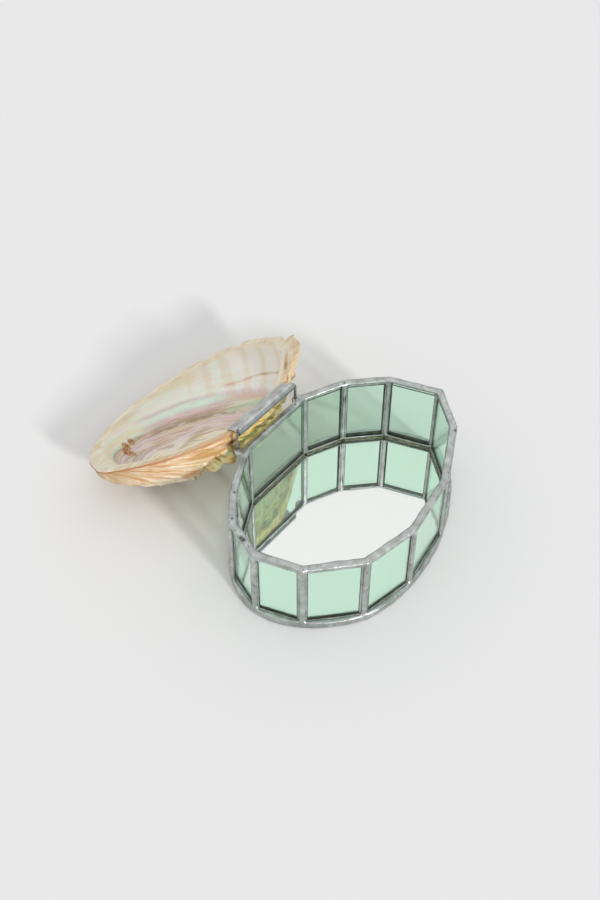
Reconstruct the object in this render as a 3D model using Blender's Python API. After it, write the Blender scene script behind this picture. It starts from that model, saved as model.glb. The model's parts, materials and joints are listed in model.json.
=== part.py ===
"""Shell box: a low oval tub of green glass panels soldered on a mirror base, with a hinged shell lid.

Metres, +Z up. The origin is on the underside of the mirror, in the middle of the walls' oval.
+X runs along the hinge and +Y points to the hinge side. The lid stands open, turned over behind the box.
"""

import math

import bmesh
import bpy
from mathutils import Matrix, Vector

# Box, measured to the middle of the glass
BOX_LENGTH = 0.162
BOX_WIDTH = 0.108
WALL_HEIGHT = 0.048
CORNER_SHARES = (
    (0.328, 1.000),
    (0.635, 0.790),
    (0.876, 0.436),
    (1.000, -0.122),
    (0.770, -0.532),
    (0.306, -0.888),
    (-0.180, -1.000),
    (-0.592, -0.873),
    (-0.897, -0.451),
    (-1.000, 0.028),
    (-0.888, 0.454),
    (-0.680, 0.712),
    (-0.313, 1.000),
)

# Glass and mirror
GLASS_THICKNESS = 0.003
MIRROR_THICKNESS = 0.0035
MIRROR_OVERHANG = 0.0019
FIT_GAP = 0.0003

# Solder
RIM_OUT = 0.0024
RIM_IN = 0.0021
RIM_HEIGHT = 0.0034
RIM_COVER = 0.0012
RIM_ROUNDING = 0.0008
SEAM_RADIUS = 0.0026
PANEL_END_GAP = 0.0014
EDGING_THICKNESS = 0.0010
EDGING_RISE = 0.0016
EDGING_LIFT = 0.0003
EDGING_INNER = 0.0028
WEB_RADIUS = 0.0034
WEB_HEIGHT = 0.0042

# Hinge
HINGE_BEHIND = 0.0036
HINGE_ABOVE_RIM = 0.0106
ROD_RADIUS = 0.0008
ROD_BEND = 0.0018
ROD_LEFT = -0.0295
ROD_RIGHT = 0.0230
FOOT_DEPTH = 0.0024
TUBE_RADIUS = 0.0018
BORE_RADIUS = 0.0012
TUBE_END_GAP = 0.0006
STRIP_WIDTH = 0.0110
STRIP_THICKNESS = 0.0014
STRIP_EDGE_THICKNESS = 0.0003
LID_DROP_DEG = 25.0

# Shell, with places as shares of its length along the hinge and of its width away from the hinge.
# Each row of the margin ends in the width of the lip there, as a share of the shell's width.
SHELL_LENGTH = 0.154
SHELL_WIDTH = 0.109
SHELL_DEPTH = 0.0356
SHELL_WALL = 0.0026
MARGIN_SHARES = (
    (-0.528, 0.615, 0.105),
    (-0.508, 0.735, 0.110),
    (-0.452, 0.850, 0.083),
    (-0.360, 0.940, 0.055),
    (-0.195, 1.000, 0.037),
    (0.000, 0.990, 0.032),
    (0.195, 0.925, 0.032),
    (0.357, 0.798, 0.041),
    (0.435, 0.650, 0.064),
    (0.464, 0.480, 0.105),
    (0.450, 0.365, 0.115),
    (0.392, 0.265, 0.110),
    (0.288, 0.190, 0.087),
    (0.168, 0.105, 0.052),
    (0.050, 0.036, 0.060),
    (-0.060, 0.025, 0.073),
    (-0.182, 0.055, 0.078),
    (-0.299, 0.160, 0.074),
    (-0.403, 0.300, 0.074),
    (-0.485, 0.480, 0.083),
)
SPIRE_SHARE = (0.020, 0.380)
LIP_DIP = 0.0007
LIP_DIP_WIDTH = 0.0075
NOTCH_SHARE = (0.462, 0.468)
NOTCH_DEPTH = 0.0058
NOTCH_WIDTH = 0.0029
TIP_SHARE = (0.464, 0.430)
TIP_HEIGHT = 0.0032
TIP_WIDTH = 0.0030
RIB_COUNT = 28
RIB_HEIGHT = 0.0009
SCALLOP = 0.0010
COLUMNS = 140
OUTER_RINGS = 9
INNER_RINGS = 8

MIRROR_TOP = MIRROR_THICKNESS
RIM_TOP = MIRROR_TOP + WALL_HEIGHT
GLASS_BOTTOM = MIRROR_TOP + FIT_GAP
GLASS_TOP = RIM_TOP - RIM_COVER
HINGE_Y = BOX_WIDTH / 2 + HINGE_BEHIND
HINGE_Z = RIM_TOP + HINGE_ABOVE_RIM


def clear_scene():
    for obj in list(bpy.data.objects):
        bpy.data.objects.remove(obj, do_unlink=True)


def new_collection(name):
    collection = bpy.data.collections.new(name)
    bpy.context.scene.collection.children.link(collection)
    return collection


def material(name, colour, roughness, metallic=0.0, transmission=0.0):
    found = bpy.data.materials.new(name)
    found.use_nodes = True
    shader = found.node_tree.nodes["Principled BSDF"]
    shader.inputs["Base Color"].default_value = (*colour, 1.0)
    shader.inputs["Roughness"].default_value = roughness
    shader.inputs["Metallic"].default_value = metallic
    shader.inputs["Transmission Weight"].default_value = transmission
    return found


def add_object(name, mesh, collection):
    obj = bpy.data.objects.new(name, mesh)
    collection.objects.link(obj)
    return obj


def mesh_object(name, shape, collection):
    """An object from a finished bmesh, its normals turned outward."""
    bmesh.ops.recalc_face_normals(shape, faces=shape.faces)
    mesh = bpy.data.meshes.new(name)
    shape.to_mesh(mesh)
    shape.free()
    return add_object(name, mesh, collection)


def mesh_from_curve(curve_object, name, collection):
    """A welded mesh object in place of a curve object."""
    bpy.context.view_layer.update()
    graph = bpy.context.evaluated_depsgraph_get()
    mesh = bpy.data.meshes.new_from_object(curve_object.evaluated_get(graph))
    welded = bmesh.new()
    welded.from_mesh(mesh)
    bmesh.ops.remove_doubles(welded, verts=welded.verts, dist=1e-6)
    bmesh.ops.recalc_face_normals(welded, faces=welded.faces)
    welded.to_mesh(mesh)
    welded.free()
    placed = curve_object.matrix_world.copy()
    bpy.data.objects.remove(curve_object, do_unlink=True)
    obj = add_object(name, mesh, collection)
    obj.matrix_world = placed
    return obj


def outline_solid(name, outlines, low, high, collection, rounding=0.0):
    """A flat outline, with holes, given thickness from low to high. Its edges may be rounded."""
    curve = bpy.data.curves.new(name, "CURVE")
    curve.dimensions = "2D"
    curve.fill_mode = "BOTH"
    curve.extrude = (high - low) / 2 - rounding
    curve.bevel_depth = rounding
    curve.bevel_resolution = 1
    for outline in outlines:
        spline = curve.splines.new("POLY")
        spline.points.add(len(outline) - 1)
        spline.use_cyclic_u = True
        for point, (x, y) in zip(spline.points, outline):
            point.co = (x, y, 0.0, 1.0)
    curve_object = add_object(name + "_outline", curve, collection)
    curve_object.location.z = (low + high) / 2
    return mesh_from_curve(curve_object, name, collection)


def wire(name, points, radius, sides_level, collection):
    """A round wire through the points, as a mesh."""
    curve = bpy.data.curves.new(name, "CURVE")
    curve.dimensions = "3D"
    curve.bevel_depth = radius
    curve.bevel_resolution = sides_level
    curve.use_fill_caps = True
    spline = curve.splines.new("POLY")
    spline.points.add(len(points) - 1)
    for point, place in zip(spline.points, points):
        point.co = (*place, 1.0)
    curve_object = add_object(name + "_path", curve, collection)
    return mesh_from_curve(curve_object, name, collection)


def shade_round(obj):
    """Shades round sides smooth and keeps the sharp edges of the ends."""
    obj.data.shade_smooth()
    obj.data.set_sharp_from_angle(angle=math.radians(50))


def smooth_closed(points, steps):
    """A closed Catmull-Rom curve through points, with this many steps between two of them."""
    count = len(points)
    found = []
    for i in range(count):
        p0, p1, p2, p3 = (Vector(points[(i + k) % count]) for k in (-1, 0, 1, 2))
        for step in range(steps):
            t = step / steps
            a = 2 * p1
            b = (p2 - p0) * t
            c = (2 * p0 - 5 * p1 + 4 * p2 - p3) * t * t
            d = (3 * p1 - p0 - 3 * p2 + p3) * t * t * t
            found.append(tuple((a + b + c + d) / 2))
    return found


def corners(offset=0.0):
    """The thirteen corners of the walls, clockwise seen from above, moved outward by a mitred offset."""
    plain = [Vector((x * BOX_LENGTH / 2, y * BOX_WIDTH / 2)) for x, y in CORNER_SHARES]
    moved = []
    for i, corner in enumerate(plain):
        before = (corner - plain[i - 1]).normalized()
        after = (plain[(i + 1) % len(plain)] - corner).normalized()
        out_before = Vector((-before.y, before.x))
        out_after = Vector((-after.y, after.x))
        mitre = (out_before + out_after).normalized()
        moved.append(tuple(corner + mitre * offset / mitre.dot(out_before)))
    return moved


def wall_places():
    """(middle, angle, length) of each wall, corner to corner."""
    plain = [Vector(corner) for corner in corners()]
    for i, start in enumerate(plain):
        end = plain[(i + 1) % len(plain)]
        run = end - start
        yield (start + end) / 2, math.atan2(run.y, run.x), run.length


def seam_angle(index):
    """The outward direction at a corner."""
    inner, outer = Vector(corners()[index]), Vector(corners(RIM_OUT)[index])
    return math.atan2(outer.y - inner.y, outer.x - inner.x)


def panel_box(shape, place, grown=0.0):
    """Adds one glass panel to a bmesh, grown on every side."""
    middle, angle, length = place
    size = (
        length - 2 * PANEL_END_GAP + 2 * grown,
        GLASS_THICKNESS + 2 * grown,
        GLASS_TOP - GLASS_BOTTOM + 2 * grown,
    )
    centre = Vector((middle.x, middle.y, (GLASS_TOP + GLASS_BOTTOM) / 2))
    matrix = Matrix.Translation(centre) @ Matrix.Rotation(angle, 4, "Z") @ Matrix.Diagonal((*size, 1.0))
    bmesh.ops.create_cube(shape, size=1.0, matrix=matrix)


def mirror_outline(grown=0.0):
    return smooth_closed(corners(MIRROR_OVERHANG + grown), 4)


def make_mirror(parts):
    mirror = outline_solid("mirror_base", [mirror_outline()], 0.0, MIRROR_THICKNESS, parts)
    mirror.data.materials.append(material("mirror", (0.86, 0.90, 0.88), 0.03, metallic=1.0))


def make_panels(parts):
    glass = material("green_glass", (0.62, 0.86, 0.72), 0.03, transmission=1.0)
    for number, (middle, angle, length) in enumerate(wall_places(), 1):
        shape = bmesh.new()
        bmesh.ops.create_cube(shape, size=1.0)
        size = (length - 2 * PANEL_END_GAP, GLASS_THICKNESS, GLASS_TOP - GLASS_BOTTOM)
        bmesh.ops.scale(shape, vec=size, verts=shape.verts)
        panel = mesh_object(f"glass_panel_{number:02d}", shape, parts)
        panel.location = (middle.x, middle.y, (GLASS_TOP + GLASS_BOTTOM) / 2)
        panel.rotation_euler.z = angle
        panel.data.materials.append(glass)


def rod_path(longer=0.0):
    """The hinge rod's middle line, from foot to foot, with rounded bends."""
    foot = RIM_TOP - FOOT_DEPTH - longer
    points = [(ROD_LEFT, HINGE_Y, foot)]
    for end, sign in ((ROD_LEFT, 1), (ROD_RIGHT, -1)):
        bend = []
        for step in range(4):
            turn = math.radians(30 * step)
            along = ROD_BEND * (1 - math.cos(turn))
            up = ROD_BEND * (math.sin(turn) - 1)
            bend.append((end + sign * along, HINGE_Y, HINGE_Z + up))
        points += bend if sign > 0 else bend[::-1]
    points.append((ROD_RIGHT, HINGE_Y, foot))
    return points


def web_solid(name, x, cutters):
    """The round lump of solder that joins a foot of the rod to the rim behind it."""
    shape = bmesh.new()
    low, high = RIM_TOP - WEB_HEIGHT, RIM_TOP - EDGING_LIFT
    middle = Vector((x, HINGE_Y - WEB_RADIUS / 2, (low + high) / 2))
    bmesh.ops.create_cone(
        shape,
        cap_ends=True,
        segments=12,
        radius1=WEB_RADIUS * 0.8,
        radius2=WEB_RADIUS,
        depth=high - low,
        matrix=Matrix.Translation(middle),
    )
    return mesh_object(name, shape, cutters)


def add_boolean(obj, other, operation):
    modifier = obj.modifiers.new(other.name, "BOOLEAN")
    modifier.operation = operation
    modifier.solver = "EXACT"
    modifier.object = other


def make_solder_frame(parts, cutters):
    """One fused piece: rim, upright seams, edging round the mirror and the webs at the rod's feet."""
    rounding = RIM_ROUNDING
    frame = outline_solid(
        "solder_frame",
        [corners(RIM_OUT - rounding), corners(rounding - RIM_IN)],
        RIM_TOP - RIM_HEIGHT,
        RIM_TOP,
        parts,
        rounding,
    )
    frame.data.materials.append(material("solder", (0.50, 0.51, 0.51), 0.42, metallic=1.0))

    seams = bmesh.new()
    seam_low, seam_high = MIRROR_TOP + FIT_GAP, RIM_TOP - RIM_HEIGHT / 3
    for index, (x, y) in enumerate(corners()):
        place = Matrix.Translation((x, y, (seam_low + seam_high) / 2))
        turned = Matrix.Rotation(seam_angle(index) + math.radians(15), 4, "Z")
        bmesh.ops.create_cone(
            seams,
            cap_ends=True,
            segments=12,
            radius1=SEAM_RADIUS,
            radius2=SEAM_RADIUS,
            depth=seam_high - seam_low,
            matrix=place @ turned,
        )
    for face in seams.faces:
        face.smooth = len(face.verts) == 4
    edging = outline_solid(
        "edging",
        [mirror_outline(FIT_GAP + EDGING_THICKNESS - rounding / 2), corners(rounding / 2 - EDGING_INNER)],
        EDGING_LIFT,
        MIRROR_TOP + EDGING_RISE,
        cutters,
        rounding / 2,
    )
    mirror_room = outline_solid(
        "mirror_room", [mirror_outline(FIT_GAP)], -MIRROR_THICKNESS, MIRROR_TOP + FIT_GAP, cutters
    )
    glass_room = bmesh.new()
    for place in wall_places():
        panel_box(glass_room, place, grown=FIT_GAP)
    added = [mesh_object("seams", seams, cutters), edging]
    added += [web_solid("web_left", ROD_LEFT, cutters), web_solid("web_right", ROD_RIGHT, cutters)]
    rod_room = wire("rod_room", rod_path(FIT_GAP), ROD_RADIUS + 1.2 * FIT_GAP, 2, cutters)
    for other in added:
        add_boolean(frame, other, "UNION")
    for other in (mesh_object("glass_room", glass_room, cutters), mirror_room, rod_room):
        add_boolean(frame, other, "DIFFERENCE")


def make_rod(parts):
    rod = wire("hinge_rod", rod_path(), ROD_RADIUS, 2, parts)
    shade_round(rod)
    rod.data.materials.append(material("hinge_wire", (0.40, 0.41, 0.41), 0.38, metallic=1.0))


def circle(radius, sides):
    turns = [2 * math.pi * (i + 0.5) / sides for i in range(sides)]
    return [(radius * math.cos(turn), radius * math.sin(turn)) for turn in turns]


def along_hinge(obj, pivot):
    """Turns a solid that was drawn flat and raised along Z, so that it runs along the hinge of the lid."""
    obj.data.transform(Matrix(((0, 0, 1, 0), (1, 0, 0, 0), (0, 1, 0, 0), (0, 0, 0, 1))))
    obj.parent = pivot


def tube_span():
    room = ROD_RADIUS + TUBE_END_GAP
    return ROD_LEFT + room, ROD_RIGHT - room


def make_tube(parts, pivot):
    start, end = tube_span()
    outlines = [circle(TUBE_RADIUS, 16), circle(BORE_RADIUS, 12)]
    tube = outline_solid("hinge_tube", outlines, start, end, parts)
    tube.data.transform(Matrix.Translation(tube.location))
    tube.location = (0, 0, 0)
    along_hinge(tube, pivot)
    shade_round(tube)
    tube.data.materials.append(material("hinge_tube", (0.46, 0.47, 0.47), 0.40, metallic=1.0))


def make_strip(parts, pivot):
    """The smear of solder from the top of the tube over the flat inner lip of the shell."""
    start, end = tube_span()
    inner = TUBE_RADIUS + FIT_GAP
    arc = [math.radians(90 - 20 * step) for step in range(4)]
    profile = [(inner * math.cos(a), inner * math.sin(a)) for a in arc]
    profile += [
        (inner + FIT_GAP, FIT_GAP),
        (STRIP_WIDTH, FIT_GAP),
        (STRIP_WIDTH, FIT_GAP + STRIP_EDGE_THICKNESS),
        (STRIP_WIDTH * 0.7, FIT_GAP + STRIP_THICKNESS * 0.7),
        (STRIP_WIDTH * 0.4, FIT_GAP + STRIP_THICKNESS),
        (TUBE_RADIUS * 0.6, inner + STRIP_THICKNESS * 0.5),
        (0.0, inner + STRIP_THICKNESS * 0.4),
    ]
    strip = outline_solid("hinge_solder", [profile], start + TUBE_END_GAP, end - TUBE_END_GAP, parts)
    strip.data.transform(Matrix.Translation(strip.location))
    strip.location = (0, 0, 0)
    along_hinge(strip, pivot)
    strip.data.materials.append(material("hinge_solder", (0.52, 0.53, 0.54), 0.45, metallic=1.0))


def share(value):
    return min(1.0, max(0.0, value))


def hinge_side(x, s):
    """1 beside the hinge, falling to 0 towards the ends and the far edge of the shell."""
    across = math.exp(-((x / (0.27 * SHELL_LENGTH)) ** 4))
    return across * share(1.0 - (s / (0.30 * SHELL_WIDTH)) ** 2)


def outer_fullness(x, s):
    """How steeply the outer wall drops from this point of the margin: least beside the hinge."""
    near = hinge_side(x, s)
    right = share((x / SHELL_LENGTH - 0.05) / 0.2) * share((0.65 - s / SHELL_WIDTH) / 0.3)
    left = share((-x / SHELL_LENGTH - 0.30) / 0.2)
    return 2.1 - 1.05 * near - 0.9 * right * (1.0 - near) - 0.1 * left


def inner_fullness(x, s):
    """How steeply the inner wall drops: less beside the hinge, where it follows the outer wall."""
    return 2.1 - 0.55 * hinge_side(x, s) - 0.5 * share((2.1 - outer_fullness(x, s)) / 0.9)


def on_lid(share_pair):
    return Vector((share_pair[0] * SHELL_LENGTH, share_pair[1] * SHELL_WIDTH))


def shell_margin():
    """Evenly spaced points of the shell's edge with its notch and tip, and plain, and the lip's widths."""
    outline = [(x * SHELL_LENGTH, s * SHELL_WIDTH, lip * SHELL_WIDTH) for x, s, lip in MARGIN_SHARES]
    dense = [Vector(row) for row in smooth_closed(outline, 8)]
    lengths = [(dense[(i + 1) % len(dense)] - row).xy.length for i, row in enumerate(dense)]
    notch, tip, spire = on_lid(NOTCH_SHARE), on_lid(TIP_SHARE), on_lid(SPIRE_SHARE)
    margin, plain, lips = [], [], []
    position, walked = 0, 0.0
    for column in range(COLUMNS):
        target = sum(lengths) * column / COLUMNS
        while walked + lengths[position] < target:
            walked += lengths[position]
            position += 1
        part = (target - walked) / lengths[position]
        row = dense[position].lerp(dense[(position + 1) % len(dense)], part)
        dent = NOTCH_DEPTH * math.exp(-(((row.xy - notch).length / NOTCH_WIDTH) ** 2))
        dent -= TIP_HEIGHT * math.exp(-(((row.xy - tip).length / TIP_WIDTH) ** 2))
        margin.append(row.xy + (spire - row.xy).normalized() * dent)
        plain.append(row.xy)
        lips.append(row.z)
    return margin, plain, lips


def lip_inner_edge(plain, lips):
    """The inner edge of the lip, this far in from the plain outline of the shell's edge."""
    edge = []
    for i, (point, lip) in enumerate(zip(plain, lips)):
        run = plain[(i + 5) % COLUMNS] - plain[i - 5]
        edge.append(point + Vector((run.y, -run.x)).normalized() * lip)
    return edge


def shell_point(rim, spire, ratio, depth, fullness):
    """A point of a dome: on its rim at ratio 1, over the spire at ratio 0. The dome hangs below the lip."""
    place = spire.lerp(rim, ratio)
    return Vector((place.x, place.y, -depth * (1 - ratio * ratio) ** (1 / fullness)))


def shell_ring(rims, spire, ratio, depth, fullnesses, ribs):
    """One ring of shell points, raised into ribs that fan out from the spire but fade at the hinge."""
    ring = []
    for i, (rim, fullness) in enumerate(zip(rims, fullnesses)):
        wave = math.cos(2 * math.pi * RIB_COUNT * i / len(rims)) * (1.0 - hinge_side(*rim))
        outward = (rim - spire).normalized() * ratio
        lean = Vector((outward.x, outward.y, -math.sqrt(max(0.0, 1 - ratio * ratio))))
        ring.append(shell_point(rim, spire, ratio, depth, fullness) + lean * ribs * wave * ratio)
    return ring


def ring_ratios(count):
    """From near the spire to the rim, closer together where the wall is steep."""
    return [math.sin(math.pi / 2 * (k + 0.6) / (count - 0.4)) for k in range(count)]


def make_shell(parts, pivot):
    """The lid: a ribbed dome round the spire, hollow, with a lip between its outer and inner walls."""
    margin, plain, lips = shell_margin()
    inner_edge = lip_inner_edge(plain, lips)
    spire = on_lid(SPIRE_SHARE)
    inner_depth = SHELL_DEPTH - SHELL_WALL
    outer_full = [outer_fullness(x, s) for x, s in margin]
    inner_full = [inner_fullness(x, s) for x, s in margin]
    rings = []
    for ratio in ring_ratios(OUTER_RINGS):
        ribs = RIB_HEIGHT if ratio < 1.0 else SCALLOP
        rings.append(shell_ring(margin, spire, ratio, SHELL_DEPTH, outer_full, ribs))
    rings.append([Vector((*outer.lerp(inner, 0.5), 0.0)) for outer, inner in zip(margin, inner_edge)])
    dips = [LIP_DIP * (lip / LIP_DIP_WIDTH) ** 2 for lip in lips]
    rings.append([Vector((*inner, -dip)) for inner, dip in zip(inner_edge, dips)])
    for ratio in ring_ratios(INNER_RINGS)[-2::-1]:
        rings.append(shell_ring(inner_edge, spire, ratio, inner_depth, inner_full, 0.0))

    shape = bmesh.new()
    made = [[shape.verts.new(point) for point in ring] for ring in rings]
    for first, second in zip(made, made[1:]):
        for i in range(COLUMNS):
            j = (i + 1) % COLUMNS
            shape.faces.new((first[i], first[j], second[j], second[i]))
    for ring, depth in ((made[0], SHELL_DEPTH), (made[-1], inner_depth)):
        tip = shape.verts.new((spire.x, spire.y, -depth))
        for i in range(COLUMNS):
            shape.faces.new((tip, ring[i], ring[(i + 1) % COLUMNS]))
    shell = mesh_object("shell_lid", shape, parts)
    shell.data.shade_smooth()
    shell.parent = pivot
    shell.data.materials.append(material("shell", (0.86, 0.76, 0.60), 0.35))


def main():
    clear_scene()
    parts = new_collection("shell_box")
    cutters = new_collection("shell_box_cutters")
    pivot = bpy.data.objects.new("lid_pivot", None)
    parts.objects.link(pivot)
    pivot.location = (0, HINGE_Y, HINGE_Z)
    pivot.rotation_euler.x = -math.radians(LID_DROP_DEG)
    make_mirror(parts)
    make_panels(parts)
    make_solder_frame(parts, cutters)
    make_rod(parts)
    make_tube(parts, pivot)
    make_strip(parts, pivot)
    make_shell(parts, pivot)
    for cutter in cutters.objects:
        cutter.hide_render = True
        cutter.display_type = "WIRE"


main()
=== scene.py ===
"""The looks of a shell box: glass panels soldered on a mirror base, with a shell as the hinged lid."""

import json
import math

import bmesh
import bpy
import numpy as np
from bpy.props import FloatProperty, FloatVectorProperty, PointerProperty
from mathutils import Matrix, Vector, noise


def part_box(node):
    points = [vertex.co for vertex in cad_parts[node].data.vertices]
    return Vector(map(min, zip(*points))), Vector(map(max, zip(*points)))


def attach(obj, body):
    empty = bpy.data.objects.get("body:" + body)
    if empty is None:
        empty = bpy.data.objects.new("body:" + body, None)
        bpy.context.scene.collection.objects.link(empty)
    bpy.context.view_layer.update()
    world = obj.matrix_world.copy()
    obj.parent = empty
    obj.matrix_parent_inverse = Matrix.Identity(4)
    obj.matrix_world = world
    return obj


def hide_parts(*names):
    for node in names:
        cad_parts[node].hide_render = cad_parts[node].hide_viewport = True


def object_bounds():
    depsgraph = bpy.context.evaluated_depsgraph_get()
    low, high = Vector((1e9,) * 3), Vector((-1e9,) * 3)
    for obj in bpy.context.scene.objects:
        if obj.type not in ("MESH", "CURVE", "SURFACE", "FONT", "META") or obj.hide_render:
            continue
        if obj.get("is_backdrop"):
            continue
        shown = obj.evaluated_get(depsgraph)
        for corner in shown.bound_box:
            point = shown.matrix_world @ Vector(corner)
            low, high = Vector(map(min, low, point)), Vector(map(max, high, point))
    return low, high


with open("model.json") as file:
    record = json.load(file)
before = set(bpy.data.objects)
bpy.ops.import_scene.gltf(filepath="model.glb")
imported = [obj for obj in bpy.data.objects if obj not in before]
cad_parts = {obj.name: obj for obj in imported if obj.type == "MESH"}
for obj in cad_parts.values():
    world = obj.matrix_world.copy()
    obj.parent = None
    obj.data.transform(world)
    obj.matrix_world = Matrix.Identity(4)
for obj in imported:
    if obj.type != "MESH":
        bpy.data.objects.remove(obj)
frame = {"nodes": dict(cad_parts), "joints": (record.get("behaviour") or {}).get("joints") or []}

bl_info = {
    "name": "Shell Box",
    "version": (1, 0, 0),
    "blender": (4, 5, 0),
    "location": "View3D > Sidebar > Shell Box",
    "description": "Finishes a glass box with a shell lid: shell, glass, mirror, solder and hinge",
    "category": "Object",
}

HINGE = Vector(frame["joints"][0]["pos_m"])
CAD_LOW, CAD_HIGH = (Vector(corner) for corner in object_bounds())
RIM_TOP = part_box("glass_panel_01")[1].z + 0.0012
MIRROR_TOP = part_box("mirror_base")[1].z
PANELS = sorted(name for name in frame["nodes"] if name.startswith("glass_panel"))
LID_DROP = math.radians(25.0)

# The shell's outline as shares of its length along the hinge and its width away from the hinge.
# Each row ends in the width of the lip there, as a share of the shell's width.
SHELL_LENGTH = 0.154
SHELL_WIDTH = 0.109
MARGIN_SHARES = (
    (-0.528, 0.615, 0.105),
    (-0.508, 0.735, 0.110),
    (-0.452, 0.850, 0.083),
    (-0.360, 0.940, 0.055),
    (-0.195, 1.000, 0.037),
    (0.000, 0.990, 0.032),
    (0.195, 0.925, 0.032),
    (0.357, 0.798, 0.041),
    (0.435, 0.650, 0.064),
    (0.464, 0.480, 0.105),
    (0.450, 0.365, 0.115),
    (0.392, 0.265, 0.110),
    (0.288, 0.190, 0.087),
    (0.168, 0.105, 0.052),
    (0.050, 0.036, 0.060),
    (-0.060, 0.025, 0.073),
    (-0.182, 0.055, 0.078),
    (-0.299, 0.160, 0.074),
    (-0.403, 0.300, 0.074),
    (-0.485, 0.480, 0.083),
)
SPIRE_SHARE = (0.020, 0.380)
NOTCH = (0.0712, 0.0510)
NOTCH_DEPTH, NOTCH_WIDTH = 0.0058, 0.0029
TIP = (0.0715, 0.0469)
TIP_HEIGHT, TIP_WIDTH = 0.0032, 0.0024
# The line that the cords outside fan out from, at the left end of the shell: (along, deep)
FAN = (-0.083, -0.003)
CORD_TURN = math.radians(4.6)
CROSS_RIBS = 36
# How the streaks of the bowl lean along the hinge, and how the ribs that cross them lie, in metres
STREAK_LEAN = 0.21
RIB_START, RIB_PITCH = 0.0322, 0.0107
RIB_LEAN, RIB_CURVE = 0.35, 17.0
LIP_DIP, LIP_DIP_WIDTH = 0.0007, 0.0075
COLUMNS = 480
OUTER_RINGS = 84
LIP_RINGS = 16
INNER_RINGS = 84

# The camera, fitted to the corners of the box in the photograph
LENS_MM = 46.0
SENSOR_MM = 36.0
CAMERA_EYE = (-0.3539, -0.2479, 0.5339)
CAMERA_TARGET = (0.02585, 0.05620, 0.0035)

# The light: a soft sky, and a low key light from the front
SKY_STRENGTH = 0.92
BACKDROP = (0.87, 0.87, 0.87)
KEY_STRENGTH = 1.75
KEY_ANGLE = math.radians(6.0)
KEY_WAY = (0.60, 2.42, -1.0)


def srgb(red, green, blue):
    """A linear colour from the 0 to 255 values seen on a screen."""
    parts = (red / 255, green / 255, blue / 255)
    return tuple(c / 12.92 if c <= 0.04045 else ((c + 0.055) / 1.055) ** 2.4 for c in parts)


class ShellBoxSizes(bpy.types.PropertyGroup):
    """Sizes of the finish that a user may change."""

    shell_depth: FloatProperty(
        name="Shell depth", description="Depth of the shell's dome", default=0.0356, unit="LENGTH"
    )
    shell_wall: FloatProperty(
        name="Shell wall", description="Thickness of the shell", default=0.0026, unit="LENGTH"
    )
    solder_voxel: FloatProperty(
        name="Solder detail", description="Mesh size of the solder", default=0.00058, unit="LENGTH"
    )
    solder_unevenness: FloatProperty(
        name="Solder unevenness", description="Height of the lumps", default=0.0003, unit="LENGTH"
    )
    foil_reach: FloatProperty(
        name="Foil reach", description="Width of the foil on each panel edge", default=0.0013, unit="LENGTH"
    )
    tinned_reach: FloatProperty(
        name="Tinned reach", description="Width of the foil that solder covers", default=0.0009, unit="LENGTH"
    )
    # Width of the brown band on the silver along the walls: a painted reflection of the foil and solder bead.
    reflection_band_reach: FloatProperty(
        name="Tarnish reach",
        description="How far the mirror is tarnished from the walls",
        default=0.0052,
        unit="LENGTH",
    )
    silver_thickness: FloatProperty(
        name="Silver thickness", description="Backing of the mirror", default=0.00035, unit="LENGTH"
    )


def colour(name, description, default):
    return FloatVectorProperty(
        name=name, description=description, default=default, subtype="COLOR", size=3, min=0.0, max=1.0
    )


class ShellBoxColours(bpy.types.PropertyGroup):
    """Colours of the finish that a user may change."""

    glass: colour("Glass", "Tint of the panels", (0.65, 0.905, 0.75))
    cream: colour("Cream", "Cream of the shell's edge", srgb(244, 236, 206))
    pearl: colour("Pearl", "Pale ground of the pearl", srgb(247, 248, 236))
    mint: colour("Mint", "Green-white streaks of the pearl", srgb(226, 244, 230))
    # Mint is also used for a painted highlight: the green-white band across the middle of the bowl.
    pink: colour("Pink", "Pink streaks of the pearl", srgb(226, 196, 186))
    lilac: colour("Lilac", "Lilac streaks of the pearl", srgb(224, 205, 206))
    tan: colour("Tan", "Tan streaks of the pearl", srgb(218, 196, 168))
    umber: colour("Umber", "Brown streaks of the pearl", srgb(190, 166, 142))
    orange: colour("Orange", "Orange cords outside", srgb(210, 146, 82))
    rust: colour("Rust", "Rust line along the edge outside", srgb(186, 122, 66))
    frill: colour("Frill", "Yellow-green of the frilled part", srgb(255, 236, 188))
    solder: colour("Solder", "Dull solder", (0.57, 0.60, 0.59))
    patina: colour("Patina", "Dark patina of solder and foil", (0.055, 0.055, 0.045))
    floor: colour("Floor", "Studio floor", (0.80, 0.80, 0.80))


def sizes():
    return bpy.context.scene.shell_box_sizes


def colours():
    return bpy.context.scene.shell_box_colours


def add_piece(name, mesh, body):
    """A new piece of the object, riding on a body of the frame."""
    piece = bpy.data.objects.new(name, mesh)
    bpy.context.scene.collection.objects.link(piece)
    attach(piece, body)
    return piece


def give_material(piece, *materials):
    slots = piece.data.materials
    for place, one in enumerate(materials):
        if place < len(slots):
            slots[place] = one
        else:
            slots.append(one)


def keep_inside(points):
    """Points moved, where they must be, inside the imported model's box."""
    return np.clip(points, np.array(CAD_LOW), np.array(CAD_HIGH))


def smoothstep(low, high, value):
    t = np.clip((value - low) / (high - low), 0.0, 1.0)
    return t * t * (3.0 - 2.0 * t)


def hump(centre, width, value):
    return np.exp(-(((value - centre) / width) ** 2))


def set_attribute(mesh, name, values):
    """A named number at each vertex, for materials to read."""
    attribute = mesh.attributes.new(name, "FLOAT", "POINT")
    attribute.data.foreach_set("value", np.asarray(values, np.float32).ravel())


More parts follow.
